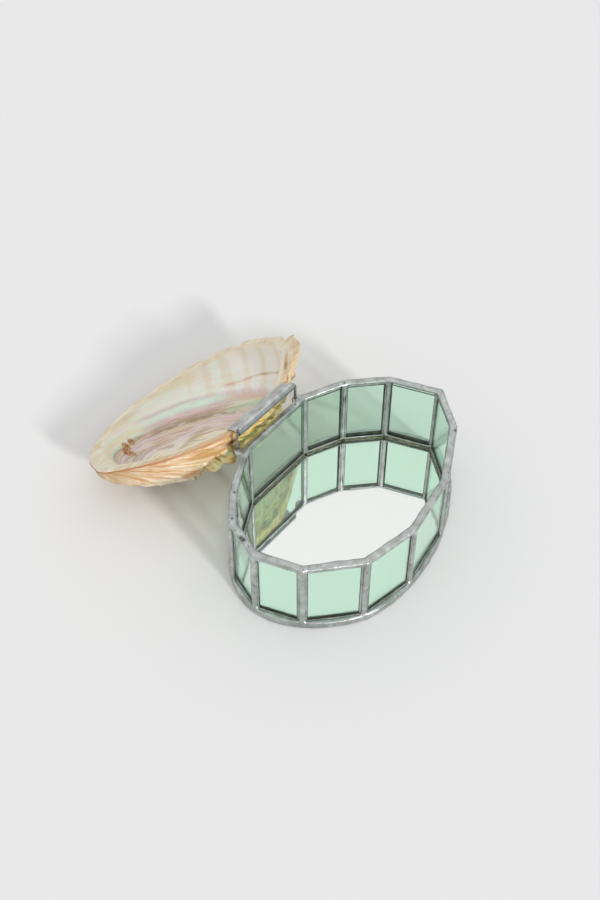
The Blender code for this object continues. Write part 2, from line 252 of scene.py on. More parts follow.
class NodeBench:
    """Adds nodes to one tree and links them."""

    def __init__(self, tree):
        self.tree = tree

    def node(self, kind, values=None, **settings):
        made = self.tree.nodes.new(kind)
        for key, value in settings.items():
            setattr(made, key, value)
        for socket, value in (values or {}).items():
            self.put(made.inputs[socket], value)
        return made

    def put(self, socket, value):
        if isinstance(value, bpy.types.NodeSocket):
            self.tree.links.new(value, socket)
        elif hasattr(value, "__len__") and len(value) == 3 and socket.type == "RGBA":
            socket.default_value = (*value, 1.0)
        else:
            socket.default_value = value

    def attribute(self, name):
        return self.node("ShaderNodeAttribute", attribute_name=name).outputs["Fac"]

    def maths(self, operation, *values, clamp=False):
        made = self.node("ShaderNodeMath", operation=operation, use_clamp=clamp)
        for socket, value in zip(made.inputs, values):
            self.put(socket, value)
        return made.outputs[0]

    def times(self, first, second):
        return self.maths("MULTIPLY", first, second)

    def plus(self, first, second, clamp=False):
        return self.maths("ADD", first, second, clamp=clamp)

    def minus(self, first, second):
        return self.maths("SUBTRACT", first, second)

    def band(self, value, low, high):
        """0 below low and 1 above high, smooth between them."""
        made = self.node("ShaderNodeMapRange", interpolation_type="SMOOTHSTEP")
        self.put(made.inputs["Value"], value)
        made.inputs["From Min"].default_value = low
        made.inputs["From Max"].default_value = high
        return made.outputs[0]

    def mix(self, factor, first, second, blend="MIX"):
        made = self.node("ShaderNodeMix", data_type="RGBA", blend_type=blend)
        self.put(made.inputs[0], factor)
        self.put(made.inputs[6], first)
        self.put(made.inputs[7], second)
        return made.outputs[2]

    def paint(self, ground, colour, mask, share):
        """The ground with a colour over it where the mask is 1, as strong as its share."""
        return self.mix(self.times(mask, share), ground, colour)

    def noise(self, vector, scale, detail=3.0, roughness=0.5, distortion=0.0):
        made = self.node("ShaderNodeTexNoise")
        self.put(made.inputs["Vector"], vector)
        made.inputs["Scale"].default_value = scale
        made.inputs["Detail"].default_value = detail
        made.inputs["Roughness"].default_value = roughness
        made.inputs["Distortion"].default_value = distortion
        return made.outputs[0]

    def vector(self, x, y, z):
        made = self.node("ShaderNodeCombineXYZ")
        for socket, value in zip(made.inputs, (x, y, z)):
            self.put(socket, value)
        return made.outputs[0]

    def ramp(self, factor, stops):
        """A colour ramp with (place, colour) stops."""
        made = self.node("ShaderNodeValToRGB")
        elements = made.color_ramp.elements
        while len(elements) < len(stops):
            elements.new(0.5)
        for element, (place, shade) in zip(elements, stops):
            element.position = place
            element.color = (*shade, 1.0)
        self.put(made.inputs[0], factor)
        return made.outputs[0]

    def object_place(self):
        return self.node("ShaderNodeTexCoord").outputs["Object"]

    def bump(self, height, strength, distance, normal=None):
        made = self.node("ShaderNodeBump")
        made.inputs["Strength"].default_value = strength
        made.inputs["Distance"].default_value = distance
        self.put(made.inputs["Height"], height)
        if normal is not None:
            self.put(made.inputs["Normal"], normal)
        return made.outputs[0]


def new_material(name):
    """A material with an empty tree but for its output. Returns it and a bench for the tree."""
    made = bpy.data.materials.new(name)
    made.use_nodes = True
    made.node_tree.nodes.clear()
    return made, NodeBench(made.node_tree)


def finish_material(bench, shader):
    output = bench.node("ShaderNodeOutputMaterial")
    bench.tree.links.new(shader.outputs[0], output.inputs["Surface"])


def solder_group():
    """Shared look of worked solder: patina in the hollows, cloudy tone, fine grain."""
    name = "Worked Solder"
    if name in bpy.data.node_groups:
        return bpy.data.node_groups[name]
    group = bpy.data.node_groups.new(name, "ShaderNodeTree")
    face = group.interface
    for label, side, kind in (
        ("Metal", "INPUT", "NodeSocketColor"),
        ("Patina", "INPUT", "NodeSocketColor"),
        ("Hollow", "INPUT", "NodeSocketFloat"),
        ("Color", "OUTPUT", "NodeSocketColor"),
        ("Roughness", "OUTPUT", "NodeSocketFloat"),
        ("Height", "OUTPUT", "NodeSocketFloat"),
    ):
        face.new_socket(label, in_out=side, socket_type=kind)
    bench = NodeBench(group)
    given = bench.node("NodeGroupInput")
    put = bench.node("NodeGroupOutput")
    place = bench.object_place()
    clouds = bench.noise(place, 160.0, 4.0, 0.6)
    grain = bench.noise(place, 1500.0, 3.0, 0.6)
    blotch = bench.noise(place, 420.0, 2.0, 0.5)
    tone = bench.ramp(
        clouds,
        ((0.30, (0.62, 0.62, 0.60)), (0.55, (0.95, 0.96, 0.95)), (0.75, (1.25, 1.27, 1.27))),
    )
    metal = bench.mix(1.0, given.outputs["Metal"], tone, "MULTIPLY")
    spots = bench.band(blotch, 0.66, 0.74)
    dark = bench.maths("MAXIMUM", given.outputs["Hollow"], bench.times(spots, 0.55), clamp=True)
    bench.put(put.inputs["Color"], bench.mix(dark, metal, given.outputs["Patina"]))
    rough = bench.plus(0.24, bench.times(clouds, 0.26))
    bench.put(put.inputs["Roughness"], bench.plus(rough, bench.times(dark, 0.25), clamp=True))
    bench.put(put.inputs["Height"], bench.plus(clouds, bench.times(grain, 0.25)))
    return group


def solder_material(name, metal, hollow=None, bump=0.00025):
    made, bench = new_material(name)
    look = bench.node("ShaderNodeGroup", node_tree=solder_group())
    bench.put(look.inputs["Metal"], metal)
    bench.put(look.inputs["Patina"], tuple(colours().patina))
    if hollow:
        bench.put(look.inputs["Hollow"], bench.attribute(hollow))
    shader = bench.node("ShaderNodeBsdfPrincipled", {"Metallic": 1.0})
    bench.put(shader.inputs["Base Color"], look.outputs["Color"])
    bench.put(shader.inputs["Roughness"], look.outputs["Roughness"])
    bench.put(shader.inputs["Normal"], bench.bump(look.outputs["Height"], 0.6, bump))
    finish_material(bench, shader)
    return made


def glass_material(name, tint, thin_tint, shade_tint, waves=0.0):
    """Clear tinted glass. Lamps and bounced light pass straight through it, tinted."""
    made, bench = new_material(name)
    glass = bench.node(
        "ShaderNodeBsdfPrincipled",
        {"Base Color": tint, "Roughness": 0.01, "IOR": 1.5, "Transmission Weight": 1.0},
    )
    if waves:
        swell = bench.noise(bench.object_place(), 45.0, 1.0)
        bench.put(glass.inputs["Normal"], bench.bump(swell, 1.0, waves))
    clear = bench.node("ShaderNodeBsdfTransparent", {"Color": thin_tint})
    path = bench.node("ShaderNodeLightPath")
    bounced = bench.node("ShaderNodeMixShader")
    bench.put(bounced.inputs[0], path.outputs["Is Diffuse Ray"])
    bench.put(bounced.inputs[1], glass.outputs[0])
    bench.put(bounced.inputs[2], clear.outputs[0])
    lamps = bench.node("ShaderNodeMixShader")
    bench.put(lamps.inputs[0], path.outputs["Is Shadow Ray"])
    bench.put(lamps.inputs[1], bounced.outputs[0])
    shade = bench.node("ShaderNodeBsdfTransparent", {"Color": shade_tint})
    bench.put(lamps.inputs[2], shade.outputs[0])
    finish_material(bench, lamps)
    return made


def smooth_closed(points, steps):
    """A closed Catmull-Rom curve through flat points."""
    points = np.array(points)
    before, after, beyond = np.roll(points, 1, 0), np.roll(points, -1, 0), np.roll(points, -2, 0)
    t = (np.arange(steps) / steps)[None, :, None]
    a = 2 * points[:, None]
    b = (after - before)[:, None]
    c = (2 * before - 5 * points + 4 * after - beyond)[:, None]
    d = (3 * points - before - 3 * after + beyond)[:, None]
    return ((a + b * t + c * t**2 + d * t**3) / 2).reshape(-1, points.shape[1])


def evenly(points, count):
    """Points spread evenly round a closed outline."""
    closed = np.vstack([points, points[:1]])
    walked = np.concatenate([[0.0], np.cumsum(np.linalg.norm(np.diff(closed[:, :2], axis=0), axis=1))])
    places = walked[-1] * np.arange(count) / count
    return np.column_stack([np.interp(places, walked, column) for column in closed.T])


def unit(vectors):
    return vectors / np.maximum(np.linalg.norm(vectors, axis=-1, keepdims=True), 1e-12)


def shell_spire():
    return np.array([SPIRE_SHARE[0] * SHELL_LENGTH, SPIRE_SHARE[1] * SHELL_WIDTH])


def shell_margin():
    """The plain outline of the shell's edge in (x, s), and the width of the lip at each point."""
    scale = np.array([SHELL_LENGTH, SHELL_WIDTH, SHELL_WIDTH])
    rows = evenly(smooth_closed(np.array(MARGIN_SHARES) * scale, 12), COLUMNS)
    return rows[:, :2], rows[:, 2]


def notched(plain):
    """The outline with its notch, the tip beside it and the frills of the far edge."""
    dent = np.zeros(len(plain))
    for place, height, width in ((NOTCH, NOTCH_DEPTH, NOTCH_WIDTH), (TIP, -TIP_HEIGHT, TIP_WIDTH)):
        dent += height * np.exp(-((np.linalg.norm(plain - np.array(place), axis=1) / width) ** 2))
    theta = bowl_angle(plain[:, 0], plain[:, 1], 0.0)
    frilly = smoothstep(-0.055, 0.03, plain[:, 0]) * smoothstep(0.045, 0.075, plain[:, 1])
    frills = 0.0011 * np.cos(0.5 * CROSS_RIBS * theta + 0.6) + 0.0006 * np.cos(CROSS_RIBS * theta + 1.9)
    small = fractal(np.column_stack([plain, 0 * plain[:, 0]]), 130.0, 3)
    dent += frills * (0.12 + 0.88 * frilly) * smoothstep(0.03, 0.06, plain[:, 1])
    dent += 0.0007 * small * (0.35 + 0.65 * frilly)
    return plain + unit(shell_spire() - plain) * dent[:, None]


def bowl_angle(x, s, n):
    """The angle round the bowl's middle, leaning a little with depth, as the cross ribs do."""
    spire = shell_spire()
    return np.arctan2(s - spire[1], x - spire[0]) - math.radians(0.35) * n * 1000.0


def hinge_side(x, s):
    """1 beside the hinge, falling to 0 towards the ends and the far edge of the shell."""
    across = np.exp(-((x / (0.27 * SHELL_LENGTH)) ** 4))
    return across * np.clip(1.0 - (s / (0.30 * SHELL_WIDTH)) ** 2, 0.0, 1.0)


def outer_fullness(x, s):
    near = hinge_side(x, s)
    right = np.clip((x / SHELL_LENGTH - 0.05) / 0.2, 0, 1) * np.clip((0.65 - s / SHELL_WIDTH) / 0.3, 0, 1)
    left = np.clip((-x / SHELL_LENGTH - 0.30) / 0.2, 0, 1)
    return 2.1 - 1.05 * near - 0.9 * right * (1.0 - near) - 0.1 * left


def inner_fullness(x, s):
    return 2.1 - 0.55 * hinge_side(x, s) - 0.5 * np.clip((2.1 - outer_fullness(x, s)) / 0.9, 0, 1)


def lip_inner_edge(plain, lips):
    reach = round(COLUMNS * 5 / 140)
    run = np.roll(plain, -reach, 0) - np.roll(plain, reach, 0)
    inward = unit(np.column_stack([run[:, 1], -run[:, 0]]))
    return plain + inward * lips[:, None]


def dome_rings(rims, ratios, depth, fullness):
    """Rings of (x, s, n) points of a dome that hangs below the lip, from the given ratios to its rim."""
    ratios = np.asarray(ratios)[:, None]
    spire = shell_spire()
    flat = spire + (rims - spire)[None] * ratios[..., None]
    n = depth * np.maximum(1.0 - ratios**2, 0.0) ** (1.0 / fullness[None])
    return np.dstack([flat, n])


def fractal(points, scale, octaves=3):
    """Smooth noise at each point, from about -1 to 1."""
    shape = points.shape[:-1]
    flat = points.reshape(-1, 3) * scale
    found = [noise.fractal(Vector(p), 1.0, 2.0, octaves) for p in flat]
    return np.array(found).reshape(shape)


def grid_normals(grid, closed_axis=1):
    """Normals of a grid of points whose second axis is closed."""
    along = np.gradient(grid, axis=0)
    round_it = (np.roll(grid, -1, closed_axis) - np.roll(grid, 1, closed_axis)) / 2
    return unit(np.cross(round_it, along))


def lid_to_row(points):
    """Lid points (along the hinge, away from it, downward) as points of the open lid in the row frame."""
    x, s, n = points[..., 0], points[..., 1], points[..., 2]
    y = HINGE.y + s * math.cos(LID_DROP) - n * math.sin(LID_DROP)
    z = HINGE.z - s * math.sin(LID_DROP) - n * math.cos(LID_DROP)
    return np.stack([x + HINGE.x, y, z], axis=-1)


def across_bowl(x, n):
    """Runs across the streaks of the bowl, in metres: 0 at the far edge, more towards the bottom."""
    return n - STREAK_LEAN * x


def fan_turn(x, n):
    """The angle of a place outside about the fan line, in cords."""
    return np.arctan2(n - FAN[1], x - FAN[0]) / CORD_TURN


def ridge_side(x, n):
    """Metres past the ridge that runs down from the hinge's left end: positive on the frilled side."""
    return x + 0.0445 - 0.0175 * np.exp(-np.maximum(n - 0.008, -0.0005) / 0.0032)


def outside_relief(grid, ratios):
    """Heights over the plain dome outside: cords, the ridge, frills, keel knobs and pitting."""
    x, s, n = grid[..., 0], grid[..., 1], grid[..., 2]
    ratio = np.asarray(ratios)[:, None]
    turns = fan_turn(x, n) + 0.25 * fractal(grid, 45.0, 2)
    fine = smoothstep(-0.045, 0.0, x)
    cords = (1.0 - fine) * np.cos(2 * np.pi * turns) + fine * np.cos(4 * np.pi * turns)
    past = ridge_side(x, n)
    near_side = smoothstep(0.055, 0.040, s)
    frilled = smoothstep(0.0, 0.004, past) * near_side
    ridge = (0.0008 * hump(-0.0006, 0.0011, past) - 0.0006 * hump(0.0028, 0.0028, past)) * near_side
    ridge = ridge * smoothstep(0.0, -0.025, x)
    pleats = np.cos(2 * np.pi * (x - (n - 0.022) / 1.5 + 0.036) / 0.0100)
    lobes = frilled * (0.0013 * pleats - 0.0004) * smoothstep(0.006, 0.018, n)
    theta = bowl_angle(x, s, 0.0 * n)
    keel = hump(0.72, 0.085, ratio) * (1.0 - frilled)
    knobs = 0.0019 * keel * np.maximum(0.0, np.cos(44 * theta + 1.0)) ** 1.5
    rough = 0.00035 * fractal(grid, 230.0, 4)
    far_ribs = 0.0005 * np.cos(CROSS_RIBS * theta) * smoothstep(0.05, 0.08, s) * ratio**4
    settle = smoothstep(0.0, 0.0025, n)
    return settle * (0.00032 * cords + ridge + lobes + knobs + rough + far_ribs)


def cross_rib(x, across):
    """1 on the faint ribs that cross the streaks at the right end of the bowl, -1 between them."""
    place = x + RIB_LEAN * across + RIB_CURVE * across**2
    return np.cos(2 * np.pi * (place - RIB_START) / RIB_PITCH)


def inside_relief(grid):
    """Heights over the plain bowl inside: the long fold, fine streaks and the ribs at the right end."""
    x, s, n = grid[..., 0], grid[..., 1], grid[..., 2]
    across = across_bowl(x, n) * 1000.0 + 0.5 * fractal(grid, 35.0, 2)
    fold = 0.0007 * hump(19.6, 0.9, across) - 0.0010 * hump(22.0, 1.4, across)
    folds = 0.0003 * np.sin(across * 1.9) * smoothstep(12.0, 20.0, across)
    low = smoothstep(-0.032, -0.026, x) * smoothstep(0.004, -0.004, x)
    first_fold = hump(32.2, 0.8, across + 190.0 * (x + 0.027))
    second_fold = hump(33.4, 0.8, across + 170.0 * (x + 0.012))
    folds += 0.0007 * low * (first_fold + second_fold)
    right = smoothstep(-0.005, 0.03, x) * smoothstep(0.05, 0.075, s)
    ribs = -0.0004 * right * cross_rib(x, across_bowl(x, n))
    waves = 0.0005 * fractal(grid, 45.0, 2)
    return fold * smoothstep(-0.058, -0.035, x) + folds + ribs + waves


def shell_grid():
    """The shell's surface as three grids of lid points: outer wall, lip and bowl."""
    depth, wall = sizes().shell_depth, sizes().shell_wall
    plain, lips = shell_margin()
    margin = notched(plain)
    inner = lip_inner_edge(plain, lips)
    x, s = plain.T
    outer_ratios = np.sin(np.pi / 2 * (np.arange(OUTER_RINGS) + 0.4) / (OUTER_RINGS - 0.6))
    outer_ratios[-1] = 1.0
    outer = dome_rings(margin, outer_ratios, depth, outer_fullness(x, s))
    outer[..., 2] += 0.0005 * outer_ratios[:, None] ** 60
    outer += grid_normals(outer) * outside_relief(outer, outer_ratios)[..., None]

    shares = (np.arange(1, LIP_RINGS + 1) / (LIP_RINGS + 1)) ** 1.3
    edge = outer[-1, :, :2]
    flat = edge[None] + (inner - edge)[None] * shares[:, None, None]
    width = np.linalg.norm(inner - edge, axis=1)[None]
    drop = 0.0005 * (1.0 - smoothstep(0.0, 0.0009, shares[:, None] * width))
    dip = LIP_DIP * (lips / LIP_DIP_WIDTH) ** 2
    lip = np.dstack([flat, drop + dip[None] * shares[:, None] ** 2])
    lip[..., 2] += 0.00025 * fractal(lip, 130.0, 3)

    inner_ratios = np.sin(np.pi / 2 * (np.arange(INNER_RINGS) + 0.4) / (INNER_RINGS - 0.6))[::-1]
    bowl = dome_rings(inner, inner_ratios, depth - wall, inner_fullness(x, s))
    bowl[..., 2] = np.maximum(bowl[..., 2], dip[None])
    relief = inside_relief(bowl) * smoothstep(1.0, 0.97, inner_ratios)[:, None]
    bowl += grid_normals(bowl) * relief[..., None]
    rounded = soften(np.concatenate([lip, bowl]), s)
    return outer, rounded[:LIP_RINGS], rounded[LIP_RINGS:]


def soften(rings, s):
    """Rounds the shoulder between lip and bowl: much at the far side and the ends, little at the hinge."""
    amount = 0.12 + 0.88 * smoothstep(0.03, 0.06, s)[None, :, None]
    first, last = 2, LIP_RINGS + 30
    for _ in range(60):
        part = rings[first : last + 1]
        middle = (rings[first - 1 : last] + rings[first + 1 : last + 2]) / 2
        rings[first : last + 1] = part + 0.5 * amount * (middle - part)
    return rings


def shell_mesh():
    outer, lip, bowl = shell_grid()
    rings = np.concatenate([outer, lip, bowl])
    count = len(rings)
    points = np.vstack([rings.reshape(-1, 3), outer[0].mean(0), bowl[-1].mean(0)])
    row = np.arange(count - 1)[:, None] * COLUMNS
    here, there = np.arange(COLUMNS), (np.arange(COLUMNS) + 1) % COLUMNS
    quads = np.stack([row + here, row + COLUMNS + here, row + COLUMNS + there, row + there], axis=-1)
    faces = quads.reshape(-1, 4).tolist()
    last = (count - 1) * COLUMNS
    faces += [(len(points) - 2, int(i), int(j)) for i, j in zip(here, there)]
    faces += [(len(points) - 1, int(last + j), int(last + i)) for i, j in zip(here, there)]
    mesh = bpy.data.meshes.new("shell_relief")
    mesh.from_pydata(keep_inside(lid_to_row(points)).tolist(), [], faces)
    inside = np.zeros(len(faces), np.int32)
    inside[: len(faces) - 2 * COLUMNS] = np.repeat(np.arange(count - 1), COLUMNS) >= OUTER_RINGS - 1
    inside[-COLUMNS:] = 1
    mesh.polygons.foreach_set("material_index", inside)

    x, s, n = points.T
    ring = np.append(np.repeat(np.arange(count), COLUMNS), [0, count - 1])
    set_attribute(mesh, "along", x * 1000.0)
    set_attribute(mesh, "away", s * 1000.0)
    set_attribute(mesh, "deep", n * 1000.0)
    set_attribute(mesh, "lip", smoothstep(OUTER_RINGS + LIP_RINGS + 6, OUTER_RINGS + LIP_RINGS - 4, ring))
    set_attribute(mesh, "lip_place", np.clip((ring - OUTER_RINGS + 1) / (LIP_RINGS + 1), 0.0, 2.0))
    set_attribute(mesh, "past_ridge", ridge_side(x, n) * 1000.0)
    set_attribute(mesh, "reach", np.append(np.repeat(outer_share(count), COLUMNS), [0, 0]))
    mesh.shade_smooth()
    return mesh


def outer_share(count):
    """How far each ring is from the spire, as a share, for the outer rings. The rest count as 1."""
    return np.sin(np.pi / 2 * np.minimum(1.0, (np.arange(count) + 0.4) / (OUTER_RINGS - 0.6)))


def fan_place(bench, x, s, n):
    """Where a point lies in the fan of cords: across the cords, along them, and through the shell."""
    right = bench.minus(x, FAN[0] * 1000.0)
    down = bench.minus(n, FAN[1] * 1000.0)
    cord = bench.maths("DIVIDE", bench.maths("ARCTAN2", down, right), CORD_TURN)
    reach = bench.maths("SQRT", bench.plus(bench.times(right, right), bench.times(down, down)))
    return cord, reach, bench.times(s, 0.04)


def both(bench, *masks):
    """Several masks multiplied."""
    found = masks[0]
    for mask in masks[1:]:
        found = bench.times(found, mask)
    return found


def between(bench, value, low, high, soft):
    """1 between low and high, fading over the softness at both ends."""
    return both(bench, bench.band(value, low - soft, low + soft), bench.band(value, high + soft, high - soft))


def near_line(bench, x, s, start, end, width):
    """1 on the straight line between two places in millimetres, fading to 0 at this distance from it."""
    run_x, run_s = end[0] - start[0], end[1] - start[1]
    long = math.hypot(run_x, run_s)
    over = bench.minus(x, start[0])
    away = bench.minus(s, start[1])
    along = bench.plus(bench.times(over, run_x / long), bench.times(away, run_s / long))
    side = bench.minus(bench.times(over, run_s / long), bench.times(away, run_x / long))
    on_it = bench.band(bench.maths("ABSOLUTE", side), width, width * 0.2)
    return both(bench, on_it, between(bench, along, long * 0.15, long * 0.85, max(width, long * 0.25)))


def shell_outside_material():
    """Cream and orange cords in a fan, a tan edge, and yellow-green frills towards the hinge."""
    shade = colours()
    made, bench = new_material("shell outside")
    x, s, n = (bench.attribute(name) for name in ("along", "away", "deep"))
    past = bench.attribute("past_ridge")
    place = bench.vector(x, s, n)
    wander = bench.times(bench.minus(bench.noise(place, 0.07, 2.0), 0.5), 0.9)
    cord, reach, through = fan_place(bench, x, s, n)
    cord = bench.plus(cord, wander)
    run = bench.times(reach, 0.035)
    cords = bench.noise(bench.vector(bench.times(cord, 1.5), run, through), 1.0, 1.0, 0.5)
    split = bench.times(cord, bench.plus(4.2, bench.times(bench.band(x, -40.0, 20.0), 3.0)))
    fine = bench.noise(bench.vector(split, bench.times(run, 2.0), through), 1.0, 3.0, 0.6)
    mottle = bench.noise(place, 0.16, 4.0, 0.6)
    speck = bench.noise(place, 0.7, 3.0, 0.6)
    ground = bench.ramp(
        bench.plus(bench.times(cords, 0.5), bench.times(fine, 0.5)),
        (
            (0.37, tuple(shade.orange)),
            (0.43, srgb(228, 186, 136)),
            (0.47, srgb(238, 214, 180)),
            (0.52, srgb(247, 232, 208)),
            (0.57, srgb(255, 247, 234)),
            (0.64, srgb(238, 206, 166)),
        ),
    )
    lines = both(bench, bench.band(fine, 0.55, 0.62), bench.band(mottle, 0.36, 0.56))
    ground = bench.paint(ground, tuple(shade.orange), lines, 0.8)
    left = bench.band(x, -68.0, -78.0)
    ground = bench.paint(ground, srgb(206, 182, 144), left, 0.6)
    yellowed = both(bench, bench.band(x, -56.0, -44.0), bench.band(mottle, 0.42, 0.58))
    ground = bench.paint(ground, srgb(216, 184, 122), yellowed, 0.6)
    keel = bench.attribute("reach")
    keel = both(bench, bench.band(keel, 0.86, 0.76), bench.band(speck, 0.36, 0.50))
    ground = bench.paint(ground, srgb(255, 248, 238), keel, 0.85)

    near_side = bench.band(s, 56.0, 40.0)
    frilled = both(bench, bench.band(past, -0.4, 1.2), near_side)
    tilt = bench.minus(x, bench.times(n, 0.68))
    pleats = bench.noise(bench.vector(bench.times(tilt, 0.55), bench.times(n, 0.06), through), 1.0, 3.0, 0.6)
    frills = bench.ramp(
        bench.plus(bench.times(pleats, 0.6), bench.times(mottle, 0.4)),
        (
            (0.37, srgb(212, 150, 74)),
            (0.43, srgb(240, 200, 122)),
            (0.49, tuple(shade.frill)),
            (0.60, srgb(255, 248, 222)),
        ),
    )
    tube_part = both(bench, bench.band(x, -27.0, -22.0), bench.band(n, 22.0, 15.0), bench.band(x, 30.0, 20.0))
    flow = bench.minus(n, bench.times(x, 0.55))
    scale_place = bench.vector(bench.times(flow, 0.5), bench.times(x, 0.14), bench.times(s, 0.3))
    scales = bench.noise(scale_place, 1.0, 4.0, 0.65, 0.6)
    scaly = bench.ramp(
        scales,
        (
            (0.36, srgb(176, 118, 44)),
            (0.42, srgb(232, 190, 92)),
            (0.49, srgb(252, 230, 150)),
            (0.58, srgb(255, 244, 198)),
            (0.66, srgb(224, 172, 80)),
        ),
    )
    frills = bench.mix(tube_part, frills, scaly)
    ground = bench.mix(both(bench, frilled, bench.band(x, 44.0, 30.0)), ground, frills)
    lean = bench.minus(x, bench.times(bench.minus(n, 10.0), 0.42))
    under = both(bench, bench.band(n, 17.0, 25.0), bench.band(x, -26.0, -18.0))
    ground = bench.paint(ground, srgb(246, 238, 220), under, 0.5)
    brown = both(bench, between(bench, lean, -29.5, -24.0, 1.5), bench.band(n, 9.0, 12.0), near_side)
    ground = bench.paint(ground, srgb(190, 154, 82), brown, 0.8)
    root = both(bench, between(bench, x, -31.5, -25.0, 2.0), between(bench, n, 5.5, 9.5, 1.2), near_side)
    ground = bench.paint(ground, srgb(104, 60, 24), root, 0.95)
    crest = both(bench, between(bench, past, -1.2, 0.0, 0.8), near_side, bench.band(x, -20.0, -30.0))
    ground = bench.paint(ground, srgb(190, 132, 62), crest, 0.75)
    patch = both(bench, between(bench, x, -53.0, -46.0, 2.0), between(bench, n, 14.5, 22.0, 2.0), near_side)
    ground = bench.paint(ground, srgb(226, 158, 84), both(bench, patch, bench.band(fine, 0.42, 0.52)), 0.7)
    layers = bench.noise(bench.vector(bench.times(x, 0.02), bench.times(s, 0.02), n), 0.42, 3.0, 0.6)
    wall = bench.ramp(
        layers,
        (
            (0.36, srgb(214, 164, 90)),
            (0.43, srgb(236, 208, 160)),
            (0.50, srgb(250, 240, 220)),
            (0.60, srgb(255, 250, 240)),
            (0.68, srgb(232, 190, 118)),
        ),
    )
    ground = bench.paint(ground, wall, bench.band(x, 30.0, 38.0), 0.9)
    dark_end = both(bench, between(bench, x, 28.5, 32.5, 1.5), bench.band(n, 7.0, 5.0), near_side)
    ground = bench.paint(ground, srgb(170, 112, 52), dark_end, 0.8)
    spotted = both(bench, between(bench, x, -80.0, -74.0, 1.5), between(bench, n, 5.0, 12.0, 1.5), near_side)
    ground = bench.mix(both(bench, spotted, bench.band(speck, 0.60, 0.66)), ground, srgb(78, 70, 58))
    ragged = bench.minus(n, bench.times(bench.noise(place, 0.25, 2.0), 1.4))
    edge = both(bench, bench.band(ragged, 1.5, 0.4), bench.band(x, -26.0, -34.0), bench.band(s, 100.0, 80.0))
    edge = bench.times(edge, bench.plus(0.55, bench.times(bench.band(x, -50.0, -60.0), 0.3)))
    ground = bench.mix(edge, ground, tuple(shade.rust))
    ground = bench.mix(1.0, ground, (0.88, 0.80, 0.70), "MULTIPLY")
    shader = bench.node(
        "ShaderNodeBsdfPrincipled",
        {"Base Color": ground, "Subsurface Weight": 0.1, "Subsurface Scale": 0.002, "Coat Weight": 0.1},
    )
    bench.put(shader.inputs["Roughness"], bench.plus(0.38, bench.times(mottle, 0.3)))
    height = bench.plus(bench.times(cords, 0.7), bench.times(fine, 0.5))
    height = bench.plus(height, bench.times(speck, 0.4))
    bench.put(shader.inputs["Normal"], bench.bump(height, 0.7, 0.0006))
    finish_material(bench, shader)
    return made


STREAKS_LEFT = (
    (8.0, "tan"),
    (10.5, "cream"),
    (14.0, "pearl"),
    (16.5, "cream"),
    (19.4, "cream"),
    (20.6, "mint"),
    (21.6, "umber"),
    (23.4, "tan"),
    (25.4, "lilac"),
    (27.4, "tan"),
    (28.2, "umber"),
    (29.4, "lilac"),
    (31.2, "cream"),
)
# In the middle, the mint stops at 15.2 and 17.0 mm are a painted highlight band, green-white, across the
# pearl.
STREAKS_MIDDLE = (
    (-1.0, "cream"),
    (3.0, "cream"),
    (6.0, "pearl"),
    (12.0, "pearl"),
    (14.0, "lilac"),
    (15.2, "mint"),
    (17.0, "mint"),
    (18.8, "lilac"),
    (20.2, "pink"),
    (22.6, "umber"),
    (23.7, "umber"),
    (24.6, "tan"),
    (26.4, "pink"),
    (28.4, "tan"),
    (30.2, "cream"),
)
STREAKS_RIGHT = (
    (-6.5, "cream"),
    (-4.0, "pearl"),
    (4.0, "pearl"),
    (5.5, "cream"),
    (7.0, "pearl"),
    (9.6, "cream"),
    (12.2, "pearl"),
    (13.4, "pearl"),
    (14.8, "lilac"),
    (16.4, "pink"),
    (18.8, "tan"),
    (20.6, "mint"),
    (22.4, "mint"),
    (24.5, "cream"),
)
CRUSTS = ((-47.2, 24.2, 2.6), (-44.3, 21.9, 2.4), (-38.6, 21.4, 2.1), (-44.8, 26.4, 1.5))


def streaks(bench, across, stops):
    """The named colours across the bowl, at these places in millimetres."""
    low, high = stops[0][0], stops[-1][0]
    shade = colours()
    scaled = bench.node("ShaderNodeMapRange")
    bench.put(scaled.inputs["Value"], across)
    scaled.inputs["From Min"].default_value = low
    scaled.inputs["From Max"].default_value = high
    ramp = [((place - low) / (high - low), tuple(getattr(shade, name))) for place, name in stops]
    return bench.ramp(scaled.outputs[0], ramp)


